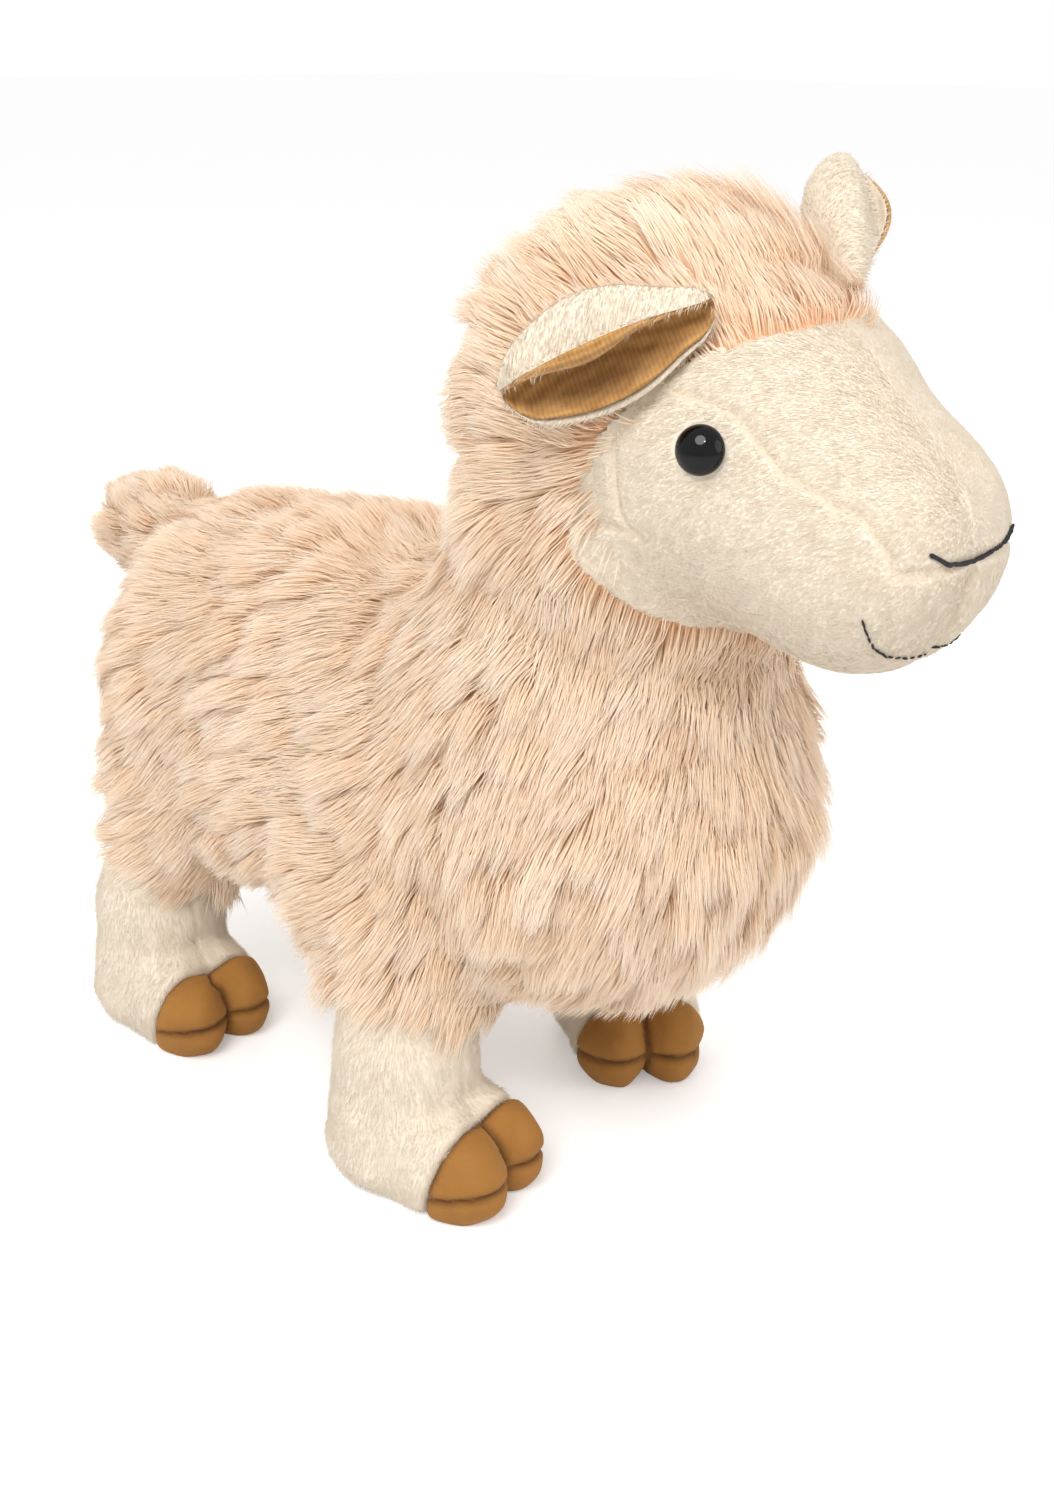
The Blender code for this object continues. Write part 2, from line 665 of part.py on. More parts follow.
nose = thread("nose_stitching", NOSE_LINE, face_skin, BLACK_THREAD)
mouth = thread("mouth_stitching", MOUTH_LINE, face_skin, BLACK_THREAD)

for obj in TOOLS.objects:
    obj.hide_render = True
    obj.display_type = "WIRE"

# The origin goes to the floor, under the middle of the whole llama
bpy.context.view_layer.update()
corners = [obj.matrix_world @ Vector(c) for obj in PARTS.objects for c in obj.bound_box]
middle = [(min(c[i] for c in corners) + max(c[i] for c in corners)) / 2 for i in range(2)]
stand = bpy.data.objects.new("stand", None)
PARTS.objects.link(stand)
stand.location = (-middle[0], -middle[1], 0)
for obj in PARTS.objects:
    if obj is not stand:
        obj.parent = stand
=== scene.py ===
# %% [markdown]
# # A standing plush llama
#
# The real object is a soft toy about 29 cm tall: long peach fleece over body, neck and head, short
# cream plush on the face, ears and legs, suede hooves, glossy eyes and a few black stitches. Its
# solids are modelled elsewhere and come in as a fixed frame. This file makes what the eye sees, and
# most of that is pile: a sewn cover is a smooth stuffed form with thousands of fibres standing on it.

# %% Load the frame
import math

import bmesh
import bpy
import numpy as np
from mathutils import Matrix, Vector
from mathutils.bvhtree import BVHTree
from mathutils.kdtree import KDTree


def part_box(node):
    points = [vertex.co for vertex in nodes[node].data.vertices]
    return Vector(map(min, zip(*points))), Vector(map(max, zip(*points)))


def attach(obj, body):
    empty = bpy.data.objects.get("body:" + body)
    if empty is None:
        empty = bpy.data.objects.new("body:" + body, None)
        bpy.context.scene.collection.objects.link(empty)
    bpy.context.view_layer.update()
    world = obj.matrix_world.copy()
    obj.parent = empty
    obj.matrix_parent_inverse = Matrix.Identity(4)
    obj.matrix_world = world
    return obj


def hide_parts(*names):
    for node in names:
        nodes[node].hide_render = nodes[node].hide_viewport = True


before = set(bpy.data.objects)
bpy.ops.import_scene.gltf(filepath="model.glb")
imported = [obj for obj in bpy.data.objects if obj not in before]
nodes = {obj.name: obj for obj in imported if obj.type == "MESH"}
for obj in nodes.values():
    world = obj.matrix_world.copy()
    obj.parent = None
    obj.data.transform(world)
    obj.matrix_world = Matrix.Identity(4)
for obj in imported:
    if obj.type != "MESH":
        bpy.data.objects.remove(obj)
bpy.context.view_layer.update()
BODY = "root"
MM = 0.001


# %% Put things in the scene
def add_piece(name, data):
    made = bpy.data.objects.new(name, data)
    bpy.context.scene.collection.objects.link(made)
    return made


def piece_from(name, shape):
    """An object made from a bmesh, which is used up."""
    mesh = bpy.data.meshes.new(name)
    shape.to_mesh(mesh)
    shape.free()
    return add_piece(name, mesh)


def dress(slot, *pieces):
    """Fixes pieces to the toy's only body. The slot, what they are made of, is not used."""
    for piece in pieces:
        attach(piece, BODY)


# %% [markdown]
# ## Camera
#
# The llama looks past the camera's left, and the camera stands a little above it. The view is given
# by its two angles, its distance and a focal length in pixels of a 1054 by 1492 picture. The aim is
# a point beside and above the floor point that the toy was designed around.

# %% Place the camera
PICTURE_HEIGHT = 1492
AZIMUTH = math.radians(-45.944)
ELEVATION = math.radians(22.957)
ROLL = math.radians(0.566)
DISTANCE = 0.5994
FOCUS = 1675.85
AIM_ASIDE = 0.0455
AIM_ABOVE = 0.0961
DESIGN_POINT = Vector((-0.0001, 0.0260, 0.0))
SENSOR = 36.0

back = Vector((math.sin(AZIMUTH) * math.cos(ELEVATION), -math.cos(AZIMUTH) * math.cos(ELEVATION),
               math.sin(ELEVATION)))
level = Vector((math.cos(AZIMUTH), math.sin(AZIMUTH), 0.0))
above = back.cross(level)
across = level * math.cos(ROLL) + above * math.sin(ROLL)
upright = above * math.cos(ROLL) - level * math.sin(ROLL)
eye_point = DESIGN_POINT + level * AIM_ASIDE + above * AIM_ABOVE + back * DISTANCE

camera = add_piece("camera", bpy.data.cameras.new("camera"))
camera.data.sensor_width = SENSOR
camera.data.lens = FOCUS / PICTURE_HEIGHT * SENSOR
camera.data.clip_start = 0.01
camera.matrix_world = Matrix.Translation(eye_point) @ Matrix((across, upright, back)).transposed().to_4x4()
bpy.context.scene.camera = camera
bpy.context.scene.view_settings.view_transform = "Standard"
print("camera at", [round(v, 3) for v in eye_point], "lens", round(camera.data.lens, 2))

# %% [markdown]
# ## Node expressions
#
# Both materials and geometry are built from nodes here. Writing their maths as nodes by hand is hard
# to read, so one small class wraps a socket and lets Python's operators add the Math nodes. Numbers
# use Math, and vectors use Vector Math.

# %% A graph, and sockets that can be used in sums
SOCKETS = {
    "Geometry": "NodeSocketGeometry", "Object": "NodeSocketObject", "Material": "NodeSocketMaterial",
    "Float": "NodeSocketFloat", "Int": "NodeSocketInt",
}


def is_vector(value):
    if isinstance(value, Wire):
        return value.socket.type == "VECTOR"
    return isinstance(value, (tuple, Vector))


class Wire:
    """An output socket. Sums, products and powers of it add the nodes that work them out."""

    def __init__(self, graph, socket):
        self.graph = graph
        self.socket = socket

    def other(self, name):
        """Another output of the same node."""
        return Wire(self.graph, self.socket.node.outputs[name])

    def __add__(self, more):
        return self.graph.sum(self, more, "ADD")

    def __radd__(self, more):
        return self.graph.sum(more, self, "ADD")

    def __sub__(self, less):
        return self.graph.sum(self, less, "SUBTRACT")

    def __rsub__(self, more):
        return self.graph.sum(more, self, "SUBTRACT")

    def __mul__(self, factor):
        if is_vector(self) and not is_vector(factor):
            return self.graph.node("ShaderNodeVectorMath", {0: self, 3: factor}, operation="SCALE")
        if is_vector(factor) and not is_vector(self):
            return factor * self
        return self.graph.sum(self, factor, "MULTIPLY")

    def __rmul__(self, factor):
        return self * factor

    def __truediv__(self, divisor):
        return self.graph.sum(self, divisor, "DIVIDE")

    def __pow__(self, power):
        return self.graph.sum(self, power, "POWER")

    def dot(self, other):
        made = self.graph.node("ShaderNodeVectorMath", [self, other], operation="DOT_PRODUCT")
        return made.other("Value")

    def cross(self, other):
        return self.graph.node("ShaderNodeVectorMath", [self, other], operation="CROSS_PRODUCT")

    def unit(self):
        return self.graph.node("ShaderNodeVectorMath", [self], operation="NORMALIZE")


class Graph:
    """A node tree, filled by calls that return sockets."""

    def __init__(self, tree):
        self.tree = tree

    def feed(self, socket, value):
        if isinstance(value, Wire):
            self.tree.links.new(value.socket, socket)
        else:
            socket.default_value = value

    def node(self, kind, inputs=(), out=0, **settings):
        """Any node: its settings first, then its inputs by name or place."""
        made = self.tree.nodes.new(kind)
        for name, value in settings.items():
            setattr(made, name, value)
        for key, value in inputs.items() if isinstance(inputs, dict) else enumerate(inputs):
            self.feed(made.inputs[key], value)
        return Wire(self, made.outputs[out])

    def sum(self, a, b, operation):
        kind = "ShaderNodeVectorMath" if is_vector(a) or is_vector(b) else "ShaderNodeMath"
        return self.node(kind, [a, b], operation=operation)

    def clamp(self, value, low=0.0, high=1.0):
        return self.node("ShaderNodeClamp", {"Value": value, "Min": low, "Max": high})

    def mix(self, factor, a, b):
        """Two colours or links to colours, by a factor."""
        return self.node("ShaderNodeMix", {0: factor, 6: a, 7: b}, out=2, data_type="RGBA")

    def ramp(self, factor, stops):
        """A colour ramp from (position, colour) stops."""
        made = self.tree.nodes.new("ShaderNodeValToRGB")
        elements = made.color_ramp.elements
        for (position, colour), number in zip(stops, range(len(stops))):
            element = elements[number] if number < 2 else elements.new(position)
            element.position = position
            element.color = colour
        self.feed(made.inputs[0], factor)
        return Wire(self, made.outputs[0])


def new_tree(name, inputs, output):
    """The graph of a new geometry node tree, and wires from its named inputs."""
    tree = bpy.data.node_groups.new(name, "GeometryNodeTree")
    for label, kind in inputs:
        tree.interface.new_socket(label, in_out="INPUT", socket_type=SOCKETS[kind])
    tree.interface.new_socket(output, in_out="OUTPUT", socket_type=SOCKETS["Geometry"])
    graph = Graph(tree)
    start = graph.node("NodeGroupInput")
    return graph, {label: start.other(label) for label, _ in inputs}


def set_tree(obj, tree, settings):
    """Puts a geometry node tree on an object, with its inputs set by name."""
    step = obj.modifiers.new(tree.name, "NODES")
    step.node_group = tree
    for item in tree.interface.items_tree:
        if item.in_out == "INPUT" and item.name in settings:
            step[item.identifier] = settings[item.name]


def tint(red, green, blue):
    """A linear colour from 8-bit sRGB values."""
    return (*(((c / 255 + 0.055) / 1.055) ** 2.4 for c in (red, green, blue)), 1.0)


def finish_of(name, build, **values):
    """A Principled material. The build function links sockets, and values set the constant ones."""
    made = bpy.data.materials.new(name)
    made.use_nodes = True
    shader = made.node_tree.nodes["Principled BSDF"]
    for key, value in values.items():
        shader.inputs[key.replace("_", " ").title().replace("Ior", "IOR")].default_value = value
    build(Graph(made.node_tree), shader)
    return made


# %% [markdown]
# ## Light and floor
#
# The toy was shot on white under large soft lamps. A pale world gives the even light, and one broad
# lamp above the camera's left gives a soft direction. Weaker ones light the front and the far side,
# and a small one shows in the eye. The floor shows as white to the camera, and still keeps the toy's
# shadow, because only part of its brightness is real light.

# %% World, lamps and floor
WORLD_LIGHT = 0.78
FLOOR_GLOW = 0.28
KEY_WATTS, KEY_SIZE = 8.5, 0.7
FILL_WATTS, FILL_SIZE = 2.4, 0.9
REAR_WATTS, REAR_SIZE = 5.0, 0.9
GLINT_WATTS, GLINT_SIZE = 0.9, 0.07

world = bpy.data.worlds.new("studio")
bpy.context.scene.world = world
world.use_nodes = True
sky = Graph(world.node_tree)
rays = sky.node("ShaderNodeLightPath")
shown = sky.clamp(rays + rays.other("Is Transmission Ray"))
background = world.node_tree.nodes["Background"]
background.inputs["Color"].default_value = (1.0, 1.0, 1.0, 1.0)
sky.feed(background.inputs["Strength"], shown * (1.0 - WORLD_LIGHT) + WORLD_LIGHT)


def lamp(name, place, aim, watts, size):
    made = add_piece(name, bpy.data.lights.new(name, "AREA"))
    made.data.shape = "DISK"
    made.data.energy = watts
    made.data.size = size
    made.location = place
    made.rotation_euler = (Vector(aim) - Vector(place)).to_track_quat("-Z", "Y").to_euler()
    return made


lamp("key", (-0.75, -0.35, 1.05), (0, 0, 0.13), KEY_WATTS, KEY_SIZE)
lamp("fill", (0.35, -1.15, 0.6), (0, 0, 0.13), FILL_WATTS, FILL_SIZE)
lamp("rear", (0.8, 0.85, 0.8), (0, 0, 0.13), REAR_WATTS, REAR_SIZE)
lamp("glint", (-0.62, -0.62, 0.95), (0, 0, 0.2), GLINT_WATTS, GLINT_SIZE)


def floor_look(graph, shader):
    paths = graph.node("ShaderNodeLightPath")
    glow = graph.node("ShaderNodeEmission", {"Strength": FLOOR_GLOW})
    plain = graph.node("ShaderNodeBsdfDiffuse", {"Color": (0.9, 0.9, 0.9, 1.0)})
    both = graph.node("ShaderNodeAddShader", [plain, glow])
    seen = graph.node("ShaderNodeMixShader", [paths, plain, both])
    output = graph.tree.nodes["Material Output"]
    graph.tree.links.new(seen.socket, output.inputs["Surface"])
    graph.tree.nodes.remove(shader)


FLOOR_SIZE = 12.0
sheet = bmesh.new()
bmesh.ops.create_grid(sheet, x_segments=1, y_segments=1, size=FLOOR_SIZE)
floor = piece_from("floor", sheet)
floor.data.materials.append(finish_of("white_floor", floor_look))

# %% [markdown]
# ## Working with forms
#
# Each cover starts from the solids that it stands for. Their copies are joined and voxel remeshed
# into one even surface, and then relaxed: neighbours are averaged, and what the averaging took from
# the large form is averaged too and given back. That removes facets and keeps the volume.

# %% Helpers for meshes


def joined(names):
    """Merged copies of some solids in one bmesh."""
    shape = bmesh.new()
    for name in names:
        shape.from_mesh(nodes[name].data)
    bmesh.ops.remove_doubles(shape, verts=shape.verts, dist=0.001 * MM)
    return shape


def evaluated(obj):
    """The finished mesh of an object with modifiers, in place of them."""
    deps = bpy.context.evaluated_depsgraph_get()
    mesh = bpy.data.meshes.new_from_object(obj.evaluated_get(deps))
    obj.modifiers.clear()
    old = obj.data
    obj.data = mesh
    if old.users == 0:
        bpy.data.meshes.remove(old)
    mesh.name = obj.name
    return obj


def remeshed(name, solids, voxel):
    """One closed surface of even quads round some solids."""
    made = piece_from(name, joined(solids))
    step = made.modifiers.new("even", "REMESH")
    step.mode = "VOXEL"
    step.voxel_size = voxel
    return evaluated(made)


def points_of(mesh):
    flat = np.empty(len(mesh.vertices) * 3, np.float32)
    mesh.vertices.foreach_get("co", flat)
    return flat.reshape(-1, 3).astype(float)


def normals_of(mesh):
    flat = np.empty(len(mesh.vertices) * 3, np.float32)
    mesh.vertex_normals.foreach_get("vector", flat)
    return flat.reshape(-1, 3).astype(float)


def move_to(mesh, points):
    mesh.vertices.foreach_set("co", points.astype(np.float32).ravel())
    mesh.update()


def averaged(values, edges, rounds):
    """Each point's value mixed with the mean of its neighbours, some rounds over."""
    count = len(values)
    ends = np.concatenate([edges[:, 0], edges[:, 1]])
    others = np.concatenate([edges[:, 1], edges[:, 0]])
    degree = np.maximum(np.bincount(ends, minlength=count), 1)[:, None]
    for _ in range(rounds):
        near = np.stack([np.bincount(ends, values[others, k], count) for k in range(values.shape[1])], 1)
        values = 0.4 * values + 0.6 * near / degree
    return values


def edges_of(mesh):
    flat = np.empty(len(mesh.edges) * 2, np.int32)
    mesh.edges.foreach_get("vertices", flat)
    return flat.reshape(-1, 2)


def relax(obj, rounds):
    mesh = obj.data
    points, edges = points_of(mesh), edges_of(mesh)
    soft = averaged(points, edges, rounds)
    move_to(mesh, soft + averaged(points - soft, edges, rounds))


def rims_between(names, core, cover):
    """Points along the outer rims of some panels, wherever another of these panels meets them."""
    trees = trees_of(names)
    inner = trees_of([core])[0]
    found = []
    for number, name in enumerate(names):
        shape = joined([name])
        others = [tree for place, tree in enumerate(trees) if place != number]
        for edge in shape.edges:
            start, end = (v.co for v in edge.verts)
            depth = min(inner.find_nearest(start)[3], inner.find_nearest(end)[3])
            if edge.calc_face_angle(0.0) < 0.8 or depth < cover:
                continue
            steps = max(round(edge.calc_length() / (0.5 * MM)), 1)
            marks = [start.lerp(end, step / steps) for step in range(steps + 1)]
            found += [mark for mark in marks if min(t.find_nearest(mark)[3] for t in others) < 0.3 * MM]
        shape.free()
    return found


def beside(points, normals, marks):
    """How far each point is from the nearest mark, along the surface."""
    finder = KDTree(len(marks))
    for number, mark in enumerate(marks):
        finder.insert(mark, number)
    finder.balance()
    away = np.array([finder.find(point)[0] for point in points]) - points
    away -= normals * (away * normals).sum(1)[:, None]
    return np.linalg.norm(away, axis=1)


def held_over(points, solid, gap):
    """Points that are inside a solid, or nearer to its surface than a gap, come out to that gap."""
    tree = trees_of([solid])[0]
    moved = []
    for point in points:
        near, normal = tree.find_nearest(point)[:2]
        rise = (Vector(point) - near).dot(normal)
        moved.append(near + normal * gap if rise < gap and (Vector(point) - near).length < 0.02 else point)
    return np.array(moved)


def away_from(points, trees):
    """Unit vectors from the nearest place on some trees to each point."""
    near = [min((tree.find_nearest(point) for tree in trees), key=lambda hit: hit[3])[0] for point in points]
    away = points - np.array(near)
    return away / np.maximum(np.linalg.norm(away, axis=1), 1e-9)[:, None]


def trees_of(names, core=None, cover=0.0):
    """A search tree over each solid. With a core, only the faces that lie outside it by a cover."""
    made = []
    inner = trees_of([core])[0] if core else None
    for name in names:
        shape = joined([name])
        if inner:
            deep = {v for v in shape.verts if inner.find_nearest(v.co)[3] < cover}
            walls = [face for face in shape.faces if deep.intersection(face.verts)]
            bmesh.ops.delete(shape, geom=walls, context="FACES")
        made.append(BVHTree.FromBMesh(shape))
        shape.free()
    return made


def distances(points, trees):
    """How far each point is from each tree's surface."""
    far = 1.0
    return np.array([[(tree.find_nearest(p)[3] or far) for tree in trees] for p in points])


def kept_part(obj, keep):
    """Deletes the points that aren't kept, and closes what that opens."""
    shape = bmesh.new()
    shape.from_mesh(obj.data)
    shape.verts.ensure_lookup_table()
    bmesh.ops.delete(shape, geom=[v for v in shape.verts if not keep[v.index]], context="VERTS")
    rims = [edge for edge in shape.edges if edge.is_boundary]
    caps = bmesh.ops.holes_fill(shape, edges=rims, sides=0)["faces"]
    bmesh.ops.triangulate(shape, faces=caps)
    shape.to_mesh(obj.data)
    shape.free()
    return obj


def keep_values(mesh, name, values):
    """Stores a number or a vector on every point."""
    kind = "FLOAT" if values.ndim == 1 else "FLOAT_VECTOR"
    layer = mesh.attributes.new(name, kind, "POINT")
    layer.data.foreach_set("value" if kind == "FLOAT" else "vector", values.astype(np.float32).ravel())


def tangent(directions, normals):
    """Directions laid down along the surface, as unit vectors."""
    flat = directions - normals * (directions * normals).sum(1)[:, None]
    return flat / np.maximum(np.linalg.norm(flat, axis=1), 1e-9)[:, None]


def step_between(values, low, high):
    """A smooth step from 0 to 1."""
    t = np.clip((values - low) / (high - low), 0, 1)
    return t * t * (3 - 2 * t)


def smooth_shading(obj):
    obj.data.shade_smooth()
    return obj


def paint(obj, material):
    obj.data.materials.clear()
    obj.data.materials.append(material)
    return obj


# %% [markdown]
# ## Pile
#
# Fleece and plush are the same thing at two scales: fibres that rise out of a backing, lean the way
# the nap is brushed and gather into clumps. One geometry node tree makes both. It scatters clump
# points and fibre points on a skin, bends a small flat ribbon along each fibre's path, and pulls its
# tip towards the tip of the nearest clump. Real hair curves with custom shading would look as well
# in a render, but ribbons are plain mesh, which every other program can read.

# %% A single ribbon


def ribbon(name, levels):
    """A strip one unit long that ends in a point. It holds its place along and across as values."""
    shape = bmesh.new()
    along = shape.verts.layers.float.new("along")
    aside = shape.verts.layers.float.new("aside")
    rows = []
    for level_at in levels:
        row = []
        for side in (-1, 1):
            v = shape.verts.new((side * 0.5, 0, level_at))
            v[along] = level_at
            v[aside] = side
            row.append(v)
        rows.append(row)
    tip = shape.verts.new((0, 0, 1))
    tip[along] = 1.0
    for low, high in zip(rows, rows[1:]):
        shape.faces.new((low[0], low[1], high[1], high[0]))
    shape.faces.new((rows[-1][0], rows[-1][1], tip))
    return piece_from(name, shape)


long_ribbon = ribbon("long_ribbon", (0.0, 0.5))
short_ribbon = ribbon("short_ribbon", (0.0,))

# %% The pile tree
PILE_INPUTS = [
    ("Skin", "Geometry"), ("Ribbon", "Object"), ("Material", "Material"), ("Density", "Float"),
    ("Clump", "Float"), ("Length", "Float"), ("Lift", "Float"), ("Reach", "Float"), ("Width", "Float"),
    ("Gather", "Float"), ("Stray", "Float"), ("Relief", "Float"), ("Seed", "Int"),
]


def make_pile_tree():
    g, given = new_tree("pile", PILE_INPUTS, "Pile")

    def value(name, kind="FLOAT"):
        return g.node("GeometryNodeInputNamedAttribute", {"Name": name}, data_type=kind)

    def keep(geometry, name, what, kind="FLOAT", domain="POINT"):
        sockets = {"Geometry": geometry, "Name": name, "Value": what}
        return g.node("GeometryNodeStoreNamedAttribute", sockets, data_type=kind, domain=domain)

    def chance(low, high, number):
        sockets = {2: low, 3: high, 8: given["Seed"] + number}
        return g.node("FunctionNodeRandomValue", sockets, out=1, data_type="FLOAT")

    rise = value("rise", "FLOAT_VECTOR").unit()
    lie = value("lie", "FLOAT_VECTOR").unit()
    place = g.node("GeometryNodeInputPosition")

    def tip_of(size, turn, stand=1.0):
        leaning = (lie + rise.cross(lie) * turn).unit()
        return place + rise * (size * given["Lift"] * stand) + leaning * (size * given["Reach"])

    # Clumps, each with its own length, turn and tone
    spots = g.node("GeometryNodeDistributePointsOnFaces",
                   {"Mesh": given["Skin"], "Distance Min": given["Clump"], "Density Max": 1e7,
                    "Seed": given["Seed"]},
                   distribute_method="POISSON")
    clump_share = chance(0.68, 1.2, 1)
    clump_tip = tip_of(clump_share * given["Length"] * value("long"), chance(-1.0, 1.0, 2) * given["Stray"],
                       chance(0.75, 1.3, 10))
    clumps = keep(spots, "tip", clump_tip, "FLOAT_VECTOR")
    clumps = keep(clumps, "share", clump_share)
    clumps = keep(clumps, "tone", chance(0.0, 1.0, 3))

    # Fibres, which lean towards the tip of the nearest clump
    roots = g.node("GeometryNodeDistributePointsOnFaces",
                   {"Mesh": given["Skin"], "Density": given["Density"] * value("thick"),
                    "Seed": given["Seed"] + 4},
                   distribute_method="RANDOM")
    nearest = g.node("GeometryNodeSampleNearest", {"Geometry": clumps}, domain="POINT")

    def from_clump(name, kind):
        sockets = {"Geometry": clumps, "Value": value(name, kind), "Index": nearest}
        return g.node("GeometryNodeSampleIndex", sockets, data_type=kind, domain="POINT")

    size = from_clump("share", "FLOAT") * chance(0.72, 1.08, 5) * given["Length"] * value("long")
    own_tip = tip_of(size, chance(-0.5, 0.5, 6) * given["Stray"])
    pull = (from_clump("tip", "FLOAT_VECTOR") - own_tip) * (given["Gather"] * chance(0.55, 1.0, 7))
    tone = from_clump("tone", "FLOAT") * 0.7 + chance(0.0, 0.3, 8)
    fibres = keep(roots, "root", place, "FLOAT_VECTOR")
    fibres = keep(fibres, "pull", pull, "FLOAT_VECTOR")
    fibres = keep(fibres, "size", size)
    fibres = keep(fibres, "tone", tone)
    fibres = keep(fibres, "twist", chance(-1.0, 1.0, 9))
    shape = g.node("GeometryNodeObjectInfo", {"Object": given["Ribbon"]}, transform_space="ORIGINAL")
    strands = g.node("GeometryNodeInstanceOnPoints", {"Points": fibres, "Instance": shape.other("Geometry")})
    strands = g.node("GeometryNodeRealizeInstances", {"Geometry": strands})

    # Every point of a ribbon goes to its place on the fibre's path
    along, aside, size = value("along"), value("aside"), value("size")
    pull, twist = value("pull", "FLOAT_VECTOR"), value("twist")
    risen = (1.0 - (1.0 - along) ** 2.0) * size * given["Lift"]
    leant = along ** 1.4 * size * given["Reach"]
    heading = rise * (size * given["Lift"] * (1.0 - along) * 2.0) + lie * (size * given["Reach"]) + pull * 1.5
    heading = heading.unit()
    sideways = (lie.cross(rise) + rise * (twist * 0.35)).unit()
    wide = aside * given["Width"] * 0.5 * (1.0 - along ** 2.0)
    path = value("root", "FLOAT_VECTOR") + rise * risen + lie * leant + pull * along ** 1.8
    split = g.node("ShaderNodeSeparateXYZ", [path + sideways * wide])
    over_floor = g.node("ShaderNodeMath", [split.other("Z"), 0.2 * MM], operation="MAXIMUM")
    ended = g.node("ShaderNodeCombineXYZ", [split, split.other("Y"), over_floor])
    strands = g.node("GeometryNodeSetPosition", {"Geometry": strands, "Position": ended})
    # A tuft is shaded as a rounded body: fibres on its left face left, and those on its right face right
    bulge = sideways.dot(pull) / size * -9.0 + twist * 0.3
    shade = rise - heading * (rise.dot(heading) * given["Relief"] * 1.4)
    shade = (shade + sideways * (bulge * given["Relief"])).unit()
    strands = keep(strands, "shade", shade, "FLOAT_VECTOR")
    spot = g.node("ShaderNodeCombineXYZ", {"X": value("tone"), "Y": along})
    strands = keep(strands, "OFBake", spot, "FLOAT2", "CORNER")
    strands = g.node("GeometryNodeSetMaterial", {"Geometry": strands, "Material": given["Material"]})
    g.feed(g.tree.nodes.new("NodeGroupOutput").inputs[0], strands)
    return g.tree


pile_tree = make_pile_tree()
PILE_VALUES = ("along", "aside", "root", "pull", "size", "tone", "twist", "shade", "rise", "lie", "thick",
               "long", "seam")
print("pile tree:", len(pile_tree.nodes), "nodes")

# %% Grow pile on a skin


def grow_pile(name, skin, **settings):
    """Ribbons on a skin, as one plain mesh whose shading follows the skin."""
    made = add_piece(name, skin.data.copy())
    set_tree(made, pile_tree, settings)
    evaluated(made)
    mesh = made.data
    shade = np.empty(len(mesh.vertices) * 3, np.float32)
    mesh.attributes["shade"].data.foreach_get("vector", shade)
    mesh.shade_smooth()
    mesh.normals_split_custom_set_from_vertices(shade.reshape(-1, 3))
    for value in PILE_VALUES:
        if value in mesh.attributes:
            mesh.attributes.remove(mesh.attributes[value])
    mesh.calc_loop_triangles()
    print(name, len(mesh.loop_triangles), "triangles")
    return made


def skin_values(obj, lie, thick, long):
    """What the pile reads from its skin: the normal, the nap, the density and the length."""
    mesh = obj.data
    keep_values(mesh, "rise", normals_of(mesh))
    keep_values(mesh, "lie", lie)
    keep_values(mesh, "thick", thick)
    keep_values(mesh, "long", long)


def area_of(obj, weights):
    """The area of a skin in square metres, weighted by a value on its points."""
    mesh = obj.data
    mesh.calc_loop_triangles()
    corners = np.empty(len(mesh.loop_triangles) * 3, np.int32)
    mesh.loop_triangles.foreach_get("vertices", corners)
    corners = corners.reshape(-1, 3)
    points = points_of(mesh)[corners]
    sizes = np.linalg.norm(np.cross(points[:, 1] - points[:, 0], points[:, 2] - points[:, 0]), axis=1) / 2
    return float((sizes * weights[corners].mean(1)).sum())


# %% [markdown]
# ## Finishes
#
# Fleece and plush get their colour from where a point is on its fibre: deep at the root, pale at the
# tip, with a tone that changes from clump to clump. The deep root is partly painted shade of the
# pile's depth, and the pale tip partly painted light. The map that holds those two values also
# serves an export, because a bake through it needs only a tiny picture. Backings are seen only
# between fibres, so they take the root's colour, painted shade included, and their seam valleys are
# painted darker as shade. Suede has a fine nap that mottles, and knit has ribs whose grooves are
# painted darker as shade.

# %% Fibre finishes


def fibre_look(roots, tips, low, high, passed, glow):
    """Colour by place on the fibre, between ramps for dark and light clumps.

    A share of the light passes through, and takes one even colour.
    """
    def build(graph, shader):
        spot = graph.node("ShaderNodeUVMap", uv_map="OFBake")
        split = graph.node("ShaderNodeSeparateXYZ", [spot])
        tone, along = split, split.other("Y")
        # Painted shade and light: the deep root colours stand partly for shade down in the pile, and the pale
        # tips partly for light.
        dark = graph.ramp(along, [(0.0, roots[0]), (0.5, tips[0]), (1.0, low)])
        light = graph.ramp(along, [(0.0, roots[1]), (0.45, tips[1]), (1.0, high)])
        graph.feed(shader.inputs["Base Color"], graph.mix(tone, dark, light))
        through = graph.node("ShaderNodeBsdfTranslucent", {"Color": glow})
        both = graph.node("ShaderNodeMixShader", [passed, Wire(graph, shader.outputs["BSDF"]), through])
        graph.feed(graph.tree.nodes["Material Output"].inputs["Surface"], both)
    return build


fleece_fibre = finish_of(
    "fleece_fibre",
    fibre_look((tint(236, 188, 144), tint(245, 208, 170)), (tint(246, 215, 182), tint(252, 231, 205)),
               tint(252, 235, 212), tint(255, 248, 236), 0.25, tint(249, 225, 197)),
    roughness=0.8, sheen_weight=0.08, sheen_roughness=0.5, specular_ior_level=0.2)
plush_fibre = finish_of(
    "plush_fibre",
    fibre_look((tint(224, 209, 187), tint(229, 217, 197)), (tint(227, 214, 194), tint(232, 220, 202)),
               tint(231, 219, 201), tint(236, 226, 210), 0.2, tint(230, 218, 200)),
    roughness=0.85, sheen_weight=0.1, sheen_roughness=0.5, specular_ior_level=0.15)

# %% Backing finishes


